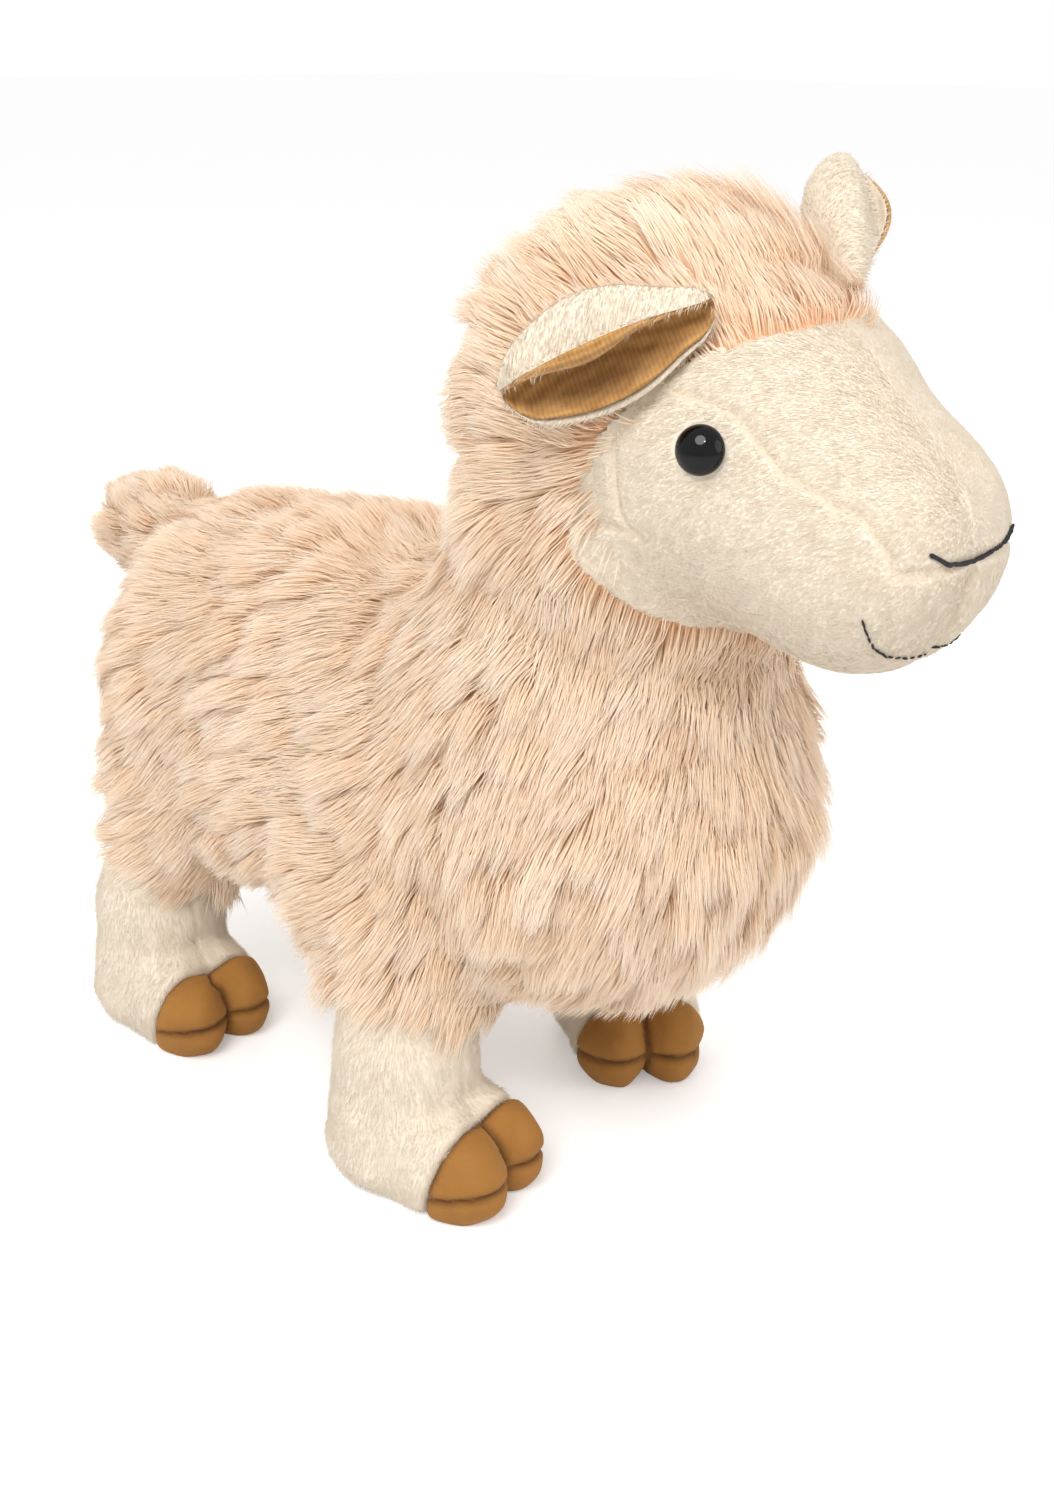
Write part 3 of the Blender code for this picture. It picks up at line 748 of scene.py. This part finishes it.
def backing_look(deep, plain, grain, depth):
    """A fuzzy backing with painted shade in its seam valleys, random darker patches and a fine uneven nap."""
    def build(graph, shader):
        place = graph.node("ShaderNodeTexCoord").other("Object")
        seam = graph.node("ShaderNodeAttribute", attribute_name="seam").other("Fac")
        patches = graph.node("ShaderNodeTexNoise", {"Vector": place, "Scale": 90.0, "Detail": 3.0})
        fuzz = graph.node("ShaderNodeTexNoise", {"Vector": place, "Scale": grain, "Detail": 2.0})
        # Painted shade: seam valleys are drawn towards the deep colour. The noise patches are random tone.
        tone = graph.clamp(seam * 0.85 + patches * 0.5 - 0.2)
        graph.feed(shader.inputs["Base Color"], graph.mix(tone, plain, deep))
        bump = graph.node("ShaderNodeBump", {"Strength": 0.5, "Distance": depth, "Height": fuzz})
        graph.feed(shader.inputs["Normal"], bump)
    return build


# The backings take the roots' colour, which holds painted shade of the pile's depth.
fleece_backing = finish_of(
    "fleece_backing", backing_look(tint(216, 158, 112), tint(234, 184, 140), 500.0, 1.0 * MM), roughness=0.95)
plush_backing = finish_of(
    "plush_backing", backing_look(tint(214, 194, 166), tint(230, 218, 200), 1400.0, 0.2 * MM),
    roughness=0.95, sheen_weight=0.1, sheen_roughness=0.5, specular_ior_level=0.15)
suede = finish_of("suede", backing_look(tint(78, 48, 22), tint(162, 112, 54), 1300.0, 0.3 * MM),
                  roughness=0.85, sheen_weight=0.2, sheen_roughness=0.4, sheen_tint=tint(240, 205, 150),
                  specular_ior_level=0.25)


# %% Knit, eye, thread and filling finishes
RIB_PITCH, STITCH_PITCH = 1.5 * MM, 1.1 * MM


def lining_look(graph, shader):
    """Fine ribs that run along the ear, with small stitches across them and painted shade in their grooves.
    """
    place = graph.node("ShaderNodeTexCoord").other("Object")
    split = graph.node("ShaderNodeSeparateXYZ", [graph.node("ShaderNodeUVMap", uv_map="ribs")])
    ribs = graph.node("ShaderNodeMath", [split * (2 * math.pi / RIB_PITCH)], operation="SINE")
    purl = graph.node("ShaderNodeMath", [split.other("Y") * (2 * math.pi / STITCH_PITCH)], operation="SINE")
    height = ribs * 0.6 + purl * 0.4
    wear = graph.node("ShaderNodeTexNoise", {"Vector": place, "Scale": 420.0, "Detail": 3.0})
    # Painted shade: the low places of ribs and stitches are drawn darker. The wear noise is random tone.
    tone = graph.clamp(height * 0.28 + wear * 0.9 + 0.05)
    graph.feed(shader.inputs["Base Color"], graph.mix(tone, tint(146, 100, 50), tint(206, 158, 94)))
    bump = graph.node("ShaderNodeBump", {"Strength": 0.8, "Distance": 0.0002, "Height": height})
    graph.feed(shader.inputs["Normal"], bump)


def plain_look(colour, grain=700.0, depth=0.0001):
    def build(graph, shader):
        place = graph.node("ShaderNodeTexCoord").other("Object")
        noise = graph.node("ShaderNodeTexNoise", {"Vector": place, "Scale": grain, "Detail": 2.0})
        shade = (*(c * 0.8 for c in colour[:3]), 1.0)
        graph.feed(shader.inputs["Base Color"], graph.mix(noise, shade, colour))
        bump = graph.node("ShaderNodeBump", {"Strength": 0.4, "Distance": depth, "Height": noise})
        graph.feed(shader.inputs["Normal"], bump)
    return build


lining = finish_of("ear_lining", lining_look, roughness=0.9, sheen_weight=0.2, specular_ior_level=0.25)
eye_gloss = finish_of("eye_gloss", plain_look(tint(9, 7, 7), 60.0, 0.0), roughness=0.06,
                      specular_ior_level=0.3)
thread_look = finish_of("black_thread", plain_look(tint(30, 27, 30), 2500.0, 0.0001), roughness=0.7)
washer_look = finish_of("washer_plastic", plain_look(tint(232, 232, 228)), roughness=0.4)
filling_look = finish_of("filling", plain_look(tint(240, 240, 236), 300.0, 0.0006), roughness=1.0)

for name, node in nodes.items():
    if name.startswith("stuffing"):
        paint(node, filling_look)
    elif name.endswith("washer"):
        paint(node, washer_look)

# %% [markdown]
# ## Face
#
# The face is three panels of short plush, sewn along the bridge of the nose and down the lip, and
# tightly stuffed. The form is cut from one remesh of head and body, so that it meets the fleece
# without a step. It is one smooth stuffed form here, with a shallow valley wherever the rims of two
# panels meet, and a deeper one down the lip. The backing is painted darker in the valleys as shade.
# The pile hides the bottom of a valley and leaves a soft line, as it does on the real toy. A narrow
# margin of plush goes on under the hairline.

# %% The face's form
FACE_PANELS = ["face_bridge_panel", "face_right_panel", "face_left_panel"]
COVERED = ["body_fleece", *FACE_PANELS, "stuffing_body"]
EYES = ["eye_right", "eye_left"]
FACE_VOXEL = 1.5 * MM
FACE_MARGIN = 1.2 * MM
PLUSH_INSET = 0.5 * MM
SEAM_DEPTH, SEAM_WIDTH = 1.0 * MM, 1.3 * MM
LIP_DEPTH, LIP_WIDTH, LIP_TOP = 2.6 * MM, 2.6 * MM, 213.0 * MM
TUCK = 0.9 * MM
FACE_ROUNDS = 90

face = remeshed("face_plush", COVERED, FACE_VOXEL)
face_trees = trees_of(FACE_PANELS)
relax(face, FACE_ROUNDS)
fleece_tree = trees_of(["body_fleece"])


def face_lead(points):
    """How much nearer the face panels are than the fleece."""
    return distances(points, fleece_tree)[:, 0] - distances(points, face_trees).min(1)


kept_part(face, face_lead(points_of(face.data)) > -FACE_MARGIN)
points, normals = points_of(face.data), normals_of(face.data)
lead = face_lead(points)
to_eyes = distances(points, trees_of(EYES)).min(1)
on_face = step_between(lead, -1.0 * MM, 0.2 * MM)
to_seams = beside(points, normals, rims_between(FACE_PANELS, "stuffing_body", 1.2 * MM))
seam = np.exp(-(to_seams / SEAM_WIDTH) ** 2) * step_between(lead, 0.0, 3.0 * MM)
lip = np.exp(-(points[:, 0] / LIP_WIDTH) ** 2) * step_between(points[:, 1], -0.145, -0.16)
lip = lip * step_between(points[:, 2], LIP_TOP, LIP_TOP - 6 * MM)
sunk = PLUSH_INSET + SEAM_DEPTH * seam + LIP_DEPTH * lip + TUCK * step_between(lead, 0.0, -1.2 * MM)
move_to(face.data, points - normals * sunk[:, None])
# Painted shade: the seam and lip valleys are stored to be drawn darker on the backing.
keep_values(face.data, "seam", np.maximum(seam * 0.8, lip * 0.8))
paint(smooth_shading(face), plush_backing)
face.data.set_sharp_from_angle(angle=1.0)
print("face:", len(face.data.vertices), "points, relaxed and seamed")

# %% The face's nap, brushed from the nose to the back and down
normals = normals_of(face.data)
points = points_of(face.data)
brushed = np.stack([np.sign(points[:, 0]) * 0.25, np.full(len(points), 0.9), np.full(len(points), -0.35)], 1)
thick = on_face * step_between(to_eyes, 0.8 * MM, 1.3 * MM) * (1 - 0.5 * seam)
skin_values(face, tangent(brushed, normals), thick, 1 - 0.4 * np.maximum(seam, lip))
PLUSH_FIBRES = {"Ribbon": short_ribbon, "Material": plush_fibre, "Clump": 2.4 * MM, "Length": 1.7 * MM,
                "Lift": 0.24, "Reach": 0.9, "Width": 0.27 * MM, "Gather": 0.08, "Stray": 0.3, "Relief": 0.02}
FACE_FIBRES = 82000
face_pile = grow_pile("face_pile", face, Density=FACE_FIBRES / area_of(face, thick), Seed=11, **PLUSH_FIBRES)
dress("cream_plush", face, face_pile)
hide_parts(*FACE_PANELS)

# %% [markdown]
# ## Legs and hooves
#
# A leg is a plush tube with a flat sole, and its hoof is four suede panels puffed out by the filling.
# Both come from one form for each leg, so that they meet exactly. The valleys are found as on the
# face, and the suede swells a little between them.

# %% Forms of the legs
LEG_NAMES = ("front_right", "front_left", "hind_right", "hind_left")
HOOF_PARTS = ("upper_inner", "upper_outer", "sole_inner", "sole_outer")
LEG_VOXEL, LEG_ROUNDS = 1.3 * MM, 10
HOOF_SEAM_DEPTH, HOOF_SEAM_WIDTH, HOOF_PUFF = 1.5 * MM, 1.3 * MM, 0.8 * MM
LEG_FIBRES = 13000
LEG_PILE = dict(PLUSH_FIBRES, Length=2.4 * MM, Lift=0.45)


def make_leg(name, seed):
    hooves = [f"hoof_{name}_{part}" for part in HOOF_PARTS]
    cover = f"leg_{name}"
    form = remeshed(f"{name}_plush", [cover, *hooves, f"stuffing_leg_{name}"], LEG_VOXEL)
    relax(form, LEG_ROUNDS)
    points = points_of(form.data)
    away = distances(points, trees_of([cover, *hooves], f"stuffing_leg_{name}", 2.2 * MM))
    nearest = away.argmin(1)
    ordered = np.sort(away, axis=1)
    between = ordered[:, 1] - ordered[:, 0]
    suede_here = nearest > 0
    seam = np.exp(-(between / HOOF_SEAM_WIDTH) ** 2)
    # A faint seam also runs down the front of the leg
    low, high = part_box(cover)
    middle = np.array((low + high) / 2)
    toes = np.mean([np.array(sum(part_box(h), Vector())) / 2 for h in hooves], axis=0)
    forward = (toes - middle)[:2]
    forward /= np.linalg.norm(forward)
    flat = points[:, :2] - middle[:2]
    aside = flat @ np.array([-forward[1], forward[0]])
    front_seam = np.exp(-(aside / (0.9 * MM)) ** 2) * (flat @ forward > 0) * ~suede_here
    swell = HOOF_PUFF * (1 - np.exp(-(between / (5 * MM)) ** 2))
    move = np.where(suede_here, swell, -PLUSH_INSET) - HOOF_SEAM_DEPTH * seam - 0.5 * MM * front_seam
    points = points + normals_of(form.data) * move[:, None]
    points[:, 2] = np.maximum(points[:, 2], 0.0)
    move_to(form.data, points)
    # Painted shade: the hoof seams and, faintly, the front seam are stored to be drawn darker.
    keep_values(form.data, "seam", np.maximum(seam, 0.35 * front_seam))
    hoof = add_piece(f"{name}_hoof", form.data.copy())
    kept_part(hoof, suede_here)
    kept_part(form, ~suede_here)
    normals = normals_of(form.data)
    points = points_of(form.data)
    below_top = step_between(points[:, 2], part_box(cover)[1].z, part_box(cover)[1].z - 3 * MM)
    thick = below_top * step_between(points[:, 2], 0.0, 1.0 * MM)
    brushed = np.tile((0.0, 0.15, -1.0), (len(points), 1))
    skin_values(form, tangent(brushed, normals), thick, np.ones(len(points)))
    pile = grow_pile(f"{name}_pile", form, Density=LEG_FIBRES / area_of(form, thick), Seed=seed, **LEG_PILE)
    paint(smooth_shading(form), plush_backing)
    paint(smooth_shading(hoof), suede)
    dress("cream_plush", form, pile)
    dress("brown_suede", hoof)
    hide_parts(cover)
    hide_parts(*hooves)


for number, leg_name in enumerate(LEG_NAMES):
    make_leg(leg_name, 21 + number)

# %% [markdown]
# ## Ears
#
# Each ear is a folded leaf with a plush back and a knitted lining. The solids already have the fold,
# so a subdivision surface on a merged copy rounds them. The back grows the same short pile, brushed
# out of the fold, so that it stands past the edges as a fringe.

# %% Backs and linings
EAR_FIBRES = 9000
EAR_PILE = dict(PLUSH_FIBRES, Length=2.0 * MM, Lift=0.45, Gather=0.15)
EAR_ROUND = 0.26
LINING_SWELL = 0.35 * MM


def softened(name, solid):
    """A rounded copy of a solid, by subdivision."""
    shape = joined([solid])
    bmesh.ops.join_triangles(shape, faces=shape.faces, angle_face_threshold=0.7, angle_shape_threshold=0.8,
                             cmp_seam=False, cmp_sharp=False, cmp_uvs=False, cmp_vcols=False,
                             cmp_materials=False)
    made = piece_from(name, shape)
    step = made.modifiers.new("round", "SUBSURF")
    step.levels = step.render_levels = 1
    return smooth_shading(evaluated(made))


def round_ends(obj, middle, axis, reach):
    """Draws the last part of a leaf in towards its axis, so that its ends are round and not cut off."""
    points = points_of(obj.data)
    along = (points - middle) @ axis
    spine = middle + along[:, None] * axis
    near_end = np.clip((np.abs(along) / reach - 1 + EAR_ROUND) / EAR_ROUND, 0, 1)
    move_to(obj.data, spine + (points - spine) * np.sqrt(1 - 0.92 * near_end ** 2)[:, None])


def make_ear(side, seed):
    back_piece = softened(f"ear_{side}_plush", f"ear_{side}_back")
    inside = softened(f"ear_{side}_knit", f"ear_{side}_lining")
    points = points_of(back_piece.data)
    opening = points_of(inside.data).mean(0) - points.mean(0)
    opening /= np.linalg.norm(opening)
    inner = distances(points, trees_of([f"ear_{side}_lining"])).min(1)
    middle = points.mean(0)
    along_ear = np.linalg.svd(points - middle, full_matrices=False)[2][0]
    along_ear *= np.sign(along_ear[0]) * (-1.0 if side == "right" else 1.0)
    reach = np.abs((points - middle) @ along_ear).max()
    for leaf in (back_piece, inside):
        round_ends(leaf, middle, along_ear, reach)
    move_to(inside.data, points_of(inside.data) + normals_of(inside.data) * LINING_SWELL)
    centred = points_of(inside.data) - middle
    normals = normals_of(back_piece.data)
    keep_values(back_piece.data, "seam", np.zeros(len(points)))
    thick = step_between(inner, 0.1 * MM, 0.4 * MM)
    nap = np.tile(opening + 0.5 * along_ear, (len(points), 1))
    skin_values(back_piece, tangent(nap, normals), thick, 1.0 + 0.7 * step_between(inner, 1.2 * MM, 0.7 * MM))
    pile = grow_pile(f"ear_{side}_pile", back_piece, Density=EAR_FIBRES / area_of(back_piece, thick),
                     Seed=seed, **EAR_PILE)
    paint(back_piece, plush_backing)
    # The ribs run along the ear, so the map counts across its length and along it
    ribs = inside.data.uv_layers.new(name="ribs")
    loops = np.empty(len(inside.data.loops), np.int32)
    inside.data.loops.foreach_get("vertex_index", loops)
    height = centred @ np.cross(along_ear, (0.0, 1.0, 0.0))
    spread = np.stack([height, centred @ along_ear], 1)[loops]
    ribs.data.foreach_set("uv", spread.astype(np.float32).ravel())
    paint(inside, lining)
    dress("cream_plush", back_piece, pile)
    dress("tan_lining", inside)
    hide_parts(f"ear_{side}_back")
    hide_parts(f"ear_{side}_lining")


make_ear("right", 31)
make_ear("left", 32)

# %% Eyes
for side in ("right", "left"):
    dome = softened(f"eye_{side}_dome", f"eye_{side}")
    paint(dome, eye_gloss)
    dress("black_eye", dome)
    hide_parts(f"eye_{side}")

# %% [markdown]
# ## Fleece
#
# The fleece is the toy's main feature: long silky fibres in layered tufts, swept back from the face,
# hanging down the neck and chest, and running back and down over the body. The solid's surface is
# the height of the pile, so the backing is that surface moved in by most of the pile's depth, and
# the fibres start there. Where an ear or the face is near, the pile is short.

# %% The backing under the fleece
FLEECE_VOXEL, FLEECE_ROUNDS = 3.4 * MM, 5
FLEECE_INSET, HAIRLINE_INSET, FACE_DROP = 7.0 * MM, 1.8 * MM, 1.2 * MM
EAR_PARTS = ["ear_right_back", "ear_left_back"]
EAR_ROOT = 9.0 * MM
UNDER_FACE = 5.0 * MM

body = remeshed("body_backing", COVERED, FLEECE_VOXEL)
relax(body, FLEECE_ROUNDS)
part_trees = trees_of(["body_fleece", *FACE_PANELS])
to_parts = distances(points_of(body.data), part_trees)
kept_part(body, to_parts[:, 0] - to_parts[:, 1:].min(1) < UNDER_FACE)
points, normals = points_of(body.data), normals_of(body.data)
to_parts = distances(points, part_trees)
to_face = to_parts[:, 1:].min(1)
lead = to_parts[:, 0] - to_face
fleecy = step_between(lead, 0.6 * MM, -0.6 * MM) * step_between(to_parts[:, 0], 5 * MM, 2.5 * MM)
to_ears = distances(points, trees_of(EAR_PARTS)).min(1)
edges = edges_of(body.data)
to_limbs = distances(points, trees_of(["tail_fleece"] + [f"leg_{name}" for name in LEG_NAMES])).min(1)
deep = step_between(lead, -1 * MM, -10 * MM) * step_between(to_limbs, 2 * MM, 14 * MM)
inset = HAIRLINE_INSET + (FLEECE_INSET - HAIRLINE_INSET) * deep + FACE_DROP * step_between(lead, 0, 3 * MM)
inset = averaged(inset[:, None], edges, 2)
inner_points = averaged(points - normals * inset, edges, 3)
inner_points = held_over(inner_points, "stuffing_body", 0.6 * MM)
move_to(body.data, inner_points)
keep_values(body.data, "seam", np.zeros(len(points)))
print("backing:", len(points), "points,", round(area_of(body, fleecy) * 1e4), "square cm of fleece")

# %% How the fleece is brushed


def wander(points, size):
    """A smooth field of small random turns."""
    waves = np.stack([
        np.sin(points @ np.array((61.0, 23.0, 47.0)) / size + 0.4),
        np.sin(points @ np.array((-29.0, 55.0, 38.0)) / size + 1.9),
        np.sin(points @ np.array((43.0, -37.0, 59.0)) / size + 3.1),
    ], 1)
    return waves


def brushed_way(points, normals, outwards):
    """The lie of the fleece: away from the face, down the neck and chest, back and down the body."""
    x, y, z = points.T
    side = np.sign(x) * np.minimum(np.abs(x) / 0.03, 1.0)
    ones = np.ones(len(x))
    head = step_between(z, 0.195, 0.24) * step_between(y, 0.0, -0.03)
    nape = step_between(y, -0.075, -0.03)
    chest = step_between(y, -0.02, -0.06) * (1 - head)
    rump = step_between(y, 0.09, 0.13)
    body_way = np.stack([0.1 * side, 0.85 * ones, -0.6 * ones], 1)
    rump_way = np.stack([0.1 * side, 0.3 * ones, -1.0 * ones], 1)
    chest_way = np.stack([0.25 * side, 0.2 * ones, -1.0 * ones], 1) + 0.5 * outwards
    head_way = np.stack([0.1 * side, 0.45 * ones, -1.0 * nape - 0.05], 1) + 0.8 * outwards
    way = body_way * (1 - rump)[:, None] + rump_way * rump[:, None]
    way = way * (1 - chest)[:, None] + chest_way * chest[:, None]
    way = way * (1 - head)[:, None] + head_way * head[:, None]
    return tangent(way + 0.22 * wander(points, 1.0), normals)


normals = normals_of(body.data)
long = np.clip((to_ears - 1.0 * MM) / (9.0 * MM), 0.5, 1.0)
long = long * (1 - 0.25 * step_between(lead, -9 * MM, -1 * MM))
for name in EAR_PARTS:
    ear_points = points_of(nodes[name].data)
    root = ear_points[np.abs(ear_points[:, 0]).argmin()]
    near_root = np.exp(-(np.linalg.norm(points - root, axis=1) / EAR_ROOT) ** 2)
    long = np.maximum(long, 0.8 * near_root)
outwards = averaged(away_from(points, face_trees), edges, 8)
skin_values(body, brushed_way(inner_points, normals, outwards), fleecy, long)

# %% Grow the fleece in pieces
FLEECE_STRANDS = 206000
FLEECE_PILE = {"Ribbon": long_ribbon, "Material": fleece_fibre, "Clump": 7.5 * MM, "Length": 20.0 * MM,
               "Lift": 0.42, "Reach": 0.8, "Width": 0.38 * MM, "Gather": 0.3, "Stray": 0.9, "Relief": 0.1}
HEAD_FROM_Z, REAR_FROM_Y, MIDDLE_FROM_Y = 0.185, 0.075, 0.0

height, depth = inner_points[:, 2], inner_points[:, 1]
region = np.where(inner_points[:, 0] > 0, 4, 1)
region[height > HEAD_FROM_Z] = 0
region[(height <= HEAD_FROM_Z) & (depth > REAR_FROM_Y)] = 3
region[(depth > MIDDLE_FROM_Y) & ((height > HEAD_FROM_Z) | (depth <= REAR_FROM_Y))] = 2
density = FLEECE_STRANDS / area_of(body, fleecy)
for number, place_name in enumerate(("head", "right_chest", "middle", "rear", "left_chest")):
    patch = add_piece(f"fleece_{place_name}_skin", body.data.copy())
    layer = patch.data.attributes["thick"]
    layer.data.foreach_set("value", (fleecy * (region == number)).astype(np.float32))
    pile = grow_pile(f"fleece_{place_name}", patch, Density=density, Seed=41 + number, **FLEECE_PILE)
    bpy.data.objects.remove(patch)
    dress("peach_fleece", pile)

paint(smooth_shading(body), fleece_backing)
dress("peach_fleece", body)
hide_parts("body_fleece")

# %% Tail
TAIL_VOXEL, TAIL_INSET = 1.8 * MM, 5.0 * MM
TAIL_STRANDS = 12000
TAIL_PILE = dict(FLEECE_PILE, Clump=5.0 * MM, Length=17.0 * MM, Lift=0.6, Gather=0.45, Stray=1.3)
tail = remeshed("tail_backing", ["tail_fleece", "stuffing_tail"], TAIL_VOXEL)
relax(tail, FLEECE_ROUNDS)
points, normals = points_of(tail.data), normals_of(tail.data)
inner_points = averaged(points - normals * TAIL_INSET, edges_of(tail.data), 4)
move_to(tail.data, held_over(inner_points, "stuffing_tail", 1.2 * MM))
keep_values(tail.data, "seam", np.zeros(len(points)))
normals = normals_of(tail.data)
tail_way = np.tile((0.0, 1.0, 0.25), (len(points), 1)) + 0.25 * wander(points, 0.7)
tail_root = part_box("tail_fleece")[0].y
clear = step_between(points[:, 1], tail_root, tail_root + 1.5 * MM)
skin_values(tail, tangent(tail_way, normals), clear, np.ones(len(points)) * 0.8)
tail_pile = grow_pile("fleece_tail", tail, Density=TAIL_STRANDS / area_of(tail, clear), Seed=51, **TAIL_PILE)
paint(smooth_shading(tail), fleece_backing)
dress("peach_fleece", tail, tail_pile)
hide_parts("tail_fleece")

# %% [markdown]
# ## Stitches
#
# The nose and the mouth are hand stitches of black thread. Each stitch is a short rounded piece of
# thread along a curve that lies on the face. A geometry node tree sets them along the curve, so that
# their length and spacing are two numbers.

# %% A stitch and its tree


def make_stitch():
    shape = bmesh.new()
    bmesh.ops.create_uvsphere(shape, u_segments=10, v_segments=8, radius=0.5)
    return smooth_shading(piece_from("stitch", shape))


STITCH_INPUTS = [("Line", "Geometry"), ("Stitch", "Object"), ("Material", "Material"), ("Spacing", "Float"),
                 ("Length", "Float"), ("Width", "Float"), ("Uneven", "Float"), ("Seed", "Int")]


def make_stitch_tree():
    g, given = new_tree("stitches", STITCH_INPUTS, "Stitches")
    spots = g.node("GeometryNodeCurveToPoints", {"Curve": given["Line"], "Length": given["Spacing"]},
                   mode="LENGTH")
    turn = g.node("FunctionNodeAlignRotationToVector", {"Vector": spots.other("Tangent")}, axis="Z")
    shape = g.node("GeometryNodeObjectInfo", {"Object": given["Stitch"]}, transform_space="ORIGINAL")
    dice, swing = (g.node("FunctionNodeRandomValue", {2: -1.0, 3: 1.0, 8: seed}, out=1, data_type="FLOAT")
                   for seed in (given["Seed"], given["Seed"] + 1))
    lean = g.node("ShaderNodeCombineXYZ", [swing * given["Uneven"], dice * given["Uneven"], 0.0])
    turn = g.node("FunctionNodeRotateRotation", {"Rotation": turn, "Rotate By": lean}, rotation_space="LOCAL")
    wide = given["Width"] * (dice * given["Uneven"] + 1.0)
    size = g.node("ShaderNodeCombineXYZ", [wide, wide, given["Length"] * (swing * given["Uneven"] + 1.0)])
    sewn = g.node("GeometryNodeInstanceOnPoints",
                  {"Points": spots, "Instance": shape.other("Geometry"), "Rotation": turn, "Scale": size})
    sewn = g.node("GeometryNodeRealizeInstances", {"Geometry": sewn})
    sewn = g.node("GeometryNodeSetMaterial", {"Geometry": sewn, "Material": given["Material"]})
    g.feed(g.tree.nodes.new("NodeGroupOutput").inputs[0], sewn)
    return g.tree


stitch = make_stitch()
stitch_tree = make_stitch_tree()

# %% Sew the nose and the mouth
NOSE = [(-17, 216.5), (-12, 214), (-6, 212.6), (0, 212), (6, 212.6), (12, 214), (17, 216.5)]
MOUTH = [(-27.5, 201), (-25.5, 197.5), (-22.5, 194), (-18, 191.2), (-11, 189.3), (0, 188.6),
         (11, 189.3), (18, 191.2), (22.5, 194), (25.5, 197.5), (27.5, 201)]


def sew(name, solid, outline, raised, **sizes):
    """Stitches along an (x, z) line seen from the front, laid on the face."""
    shape = bmesh.new()
    shape.from_mesh(face.data)
    surface = BVHTree.FromBMesh(shape)
    shape.free()
    curve = bpy.data.curves.new(name + "_line", "CURVE")
    curve.dimensions = "3D"
    spline = curve.splines.new("POLY")
    steps = 4
    line = [Vector(a).lerp(Vector(b), i / steps) for a, b in zip(outline, outline[1:]) for i in range(steps)]
    line.append(Vector(outline[-1]))
    spline.points.add(len(line) - 1)
    for point, (x, z) in zip(spline.points, line):
        place, normal = surface.ray_cast(Vector((x * MM, -0.4, z * MM)), Vector((0, 1, 0)))[:2]
        point.co = (*(place + normal * raised), 1.0)
    made = add_piece(name, curve)
    set_tree(made, stitch_tree, dict(sizes, Stitch=stitch, Material=thread_look, Uneven=0.22, Seed=61))
    deps = bpy.context.evaluated_depsgraph_get()
    mesh = bpy.data.meshes.new_from_object(made.evaluated_get(deps))
    bpy.data.objects.remove(made)
    sewn = add_piece(name, mesh)
    dress("black_thread", sewn)
    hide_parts(solid)
    print(name, len(mesh.polygons), "faces")


sew("nose_stitches", "nose_stitching", NOSE, 0.5 * MM, Spacing=1.2 * MM, Length=2.4 * MM, Width=1.1 * MM)
sew("mouth_stitches", "mouth_stitching", MOUTH, 0.45 * MM, Spacing=2.6 * MM, Length=2.6 * MM, Width=0.6 * MM)

# %% Put the tools away
for tool in (long_ribbon, short_ribbon, stitch):
    bpy.data.objects.remove(tool)
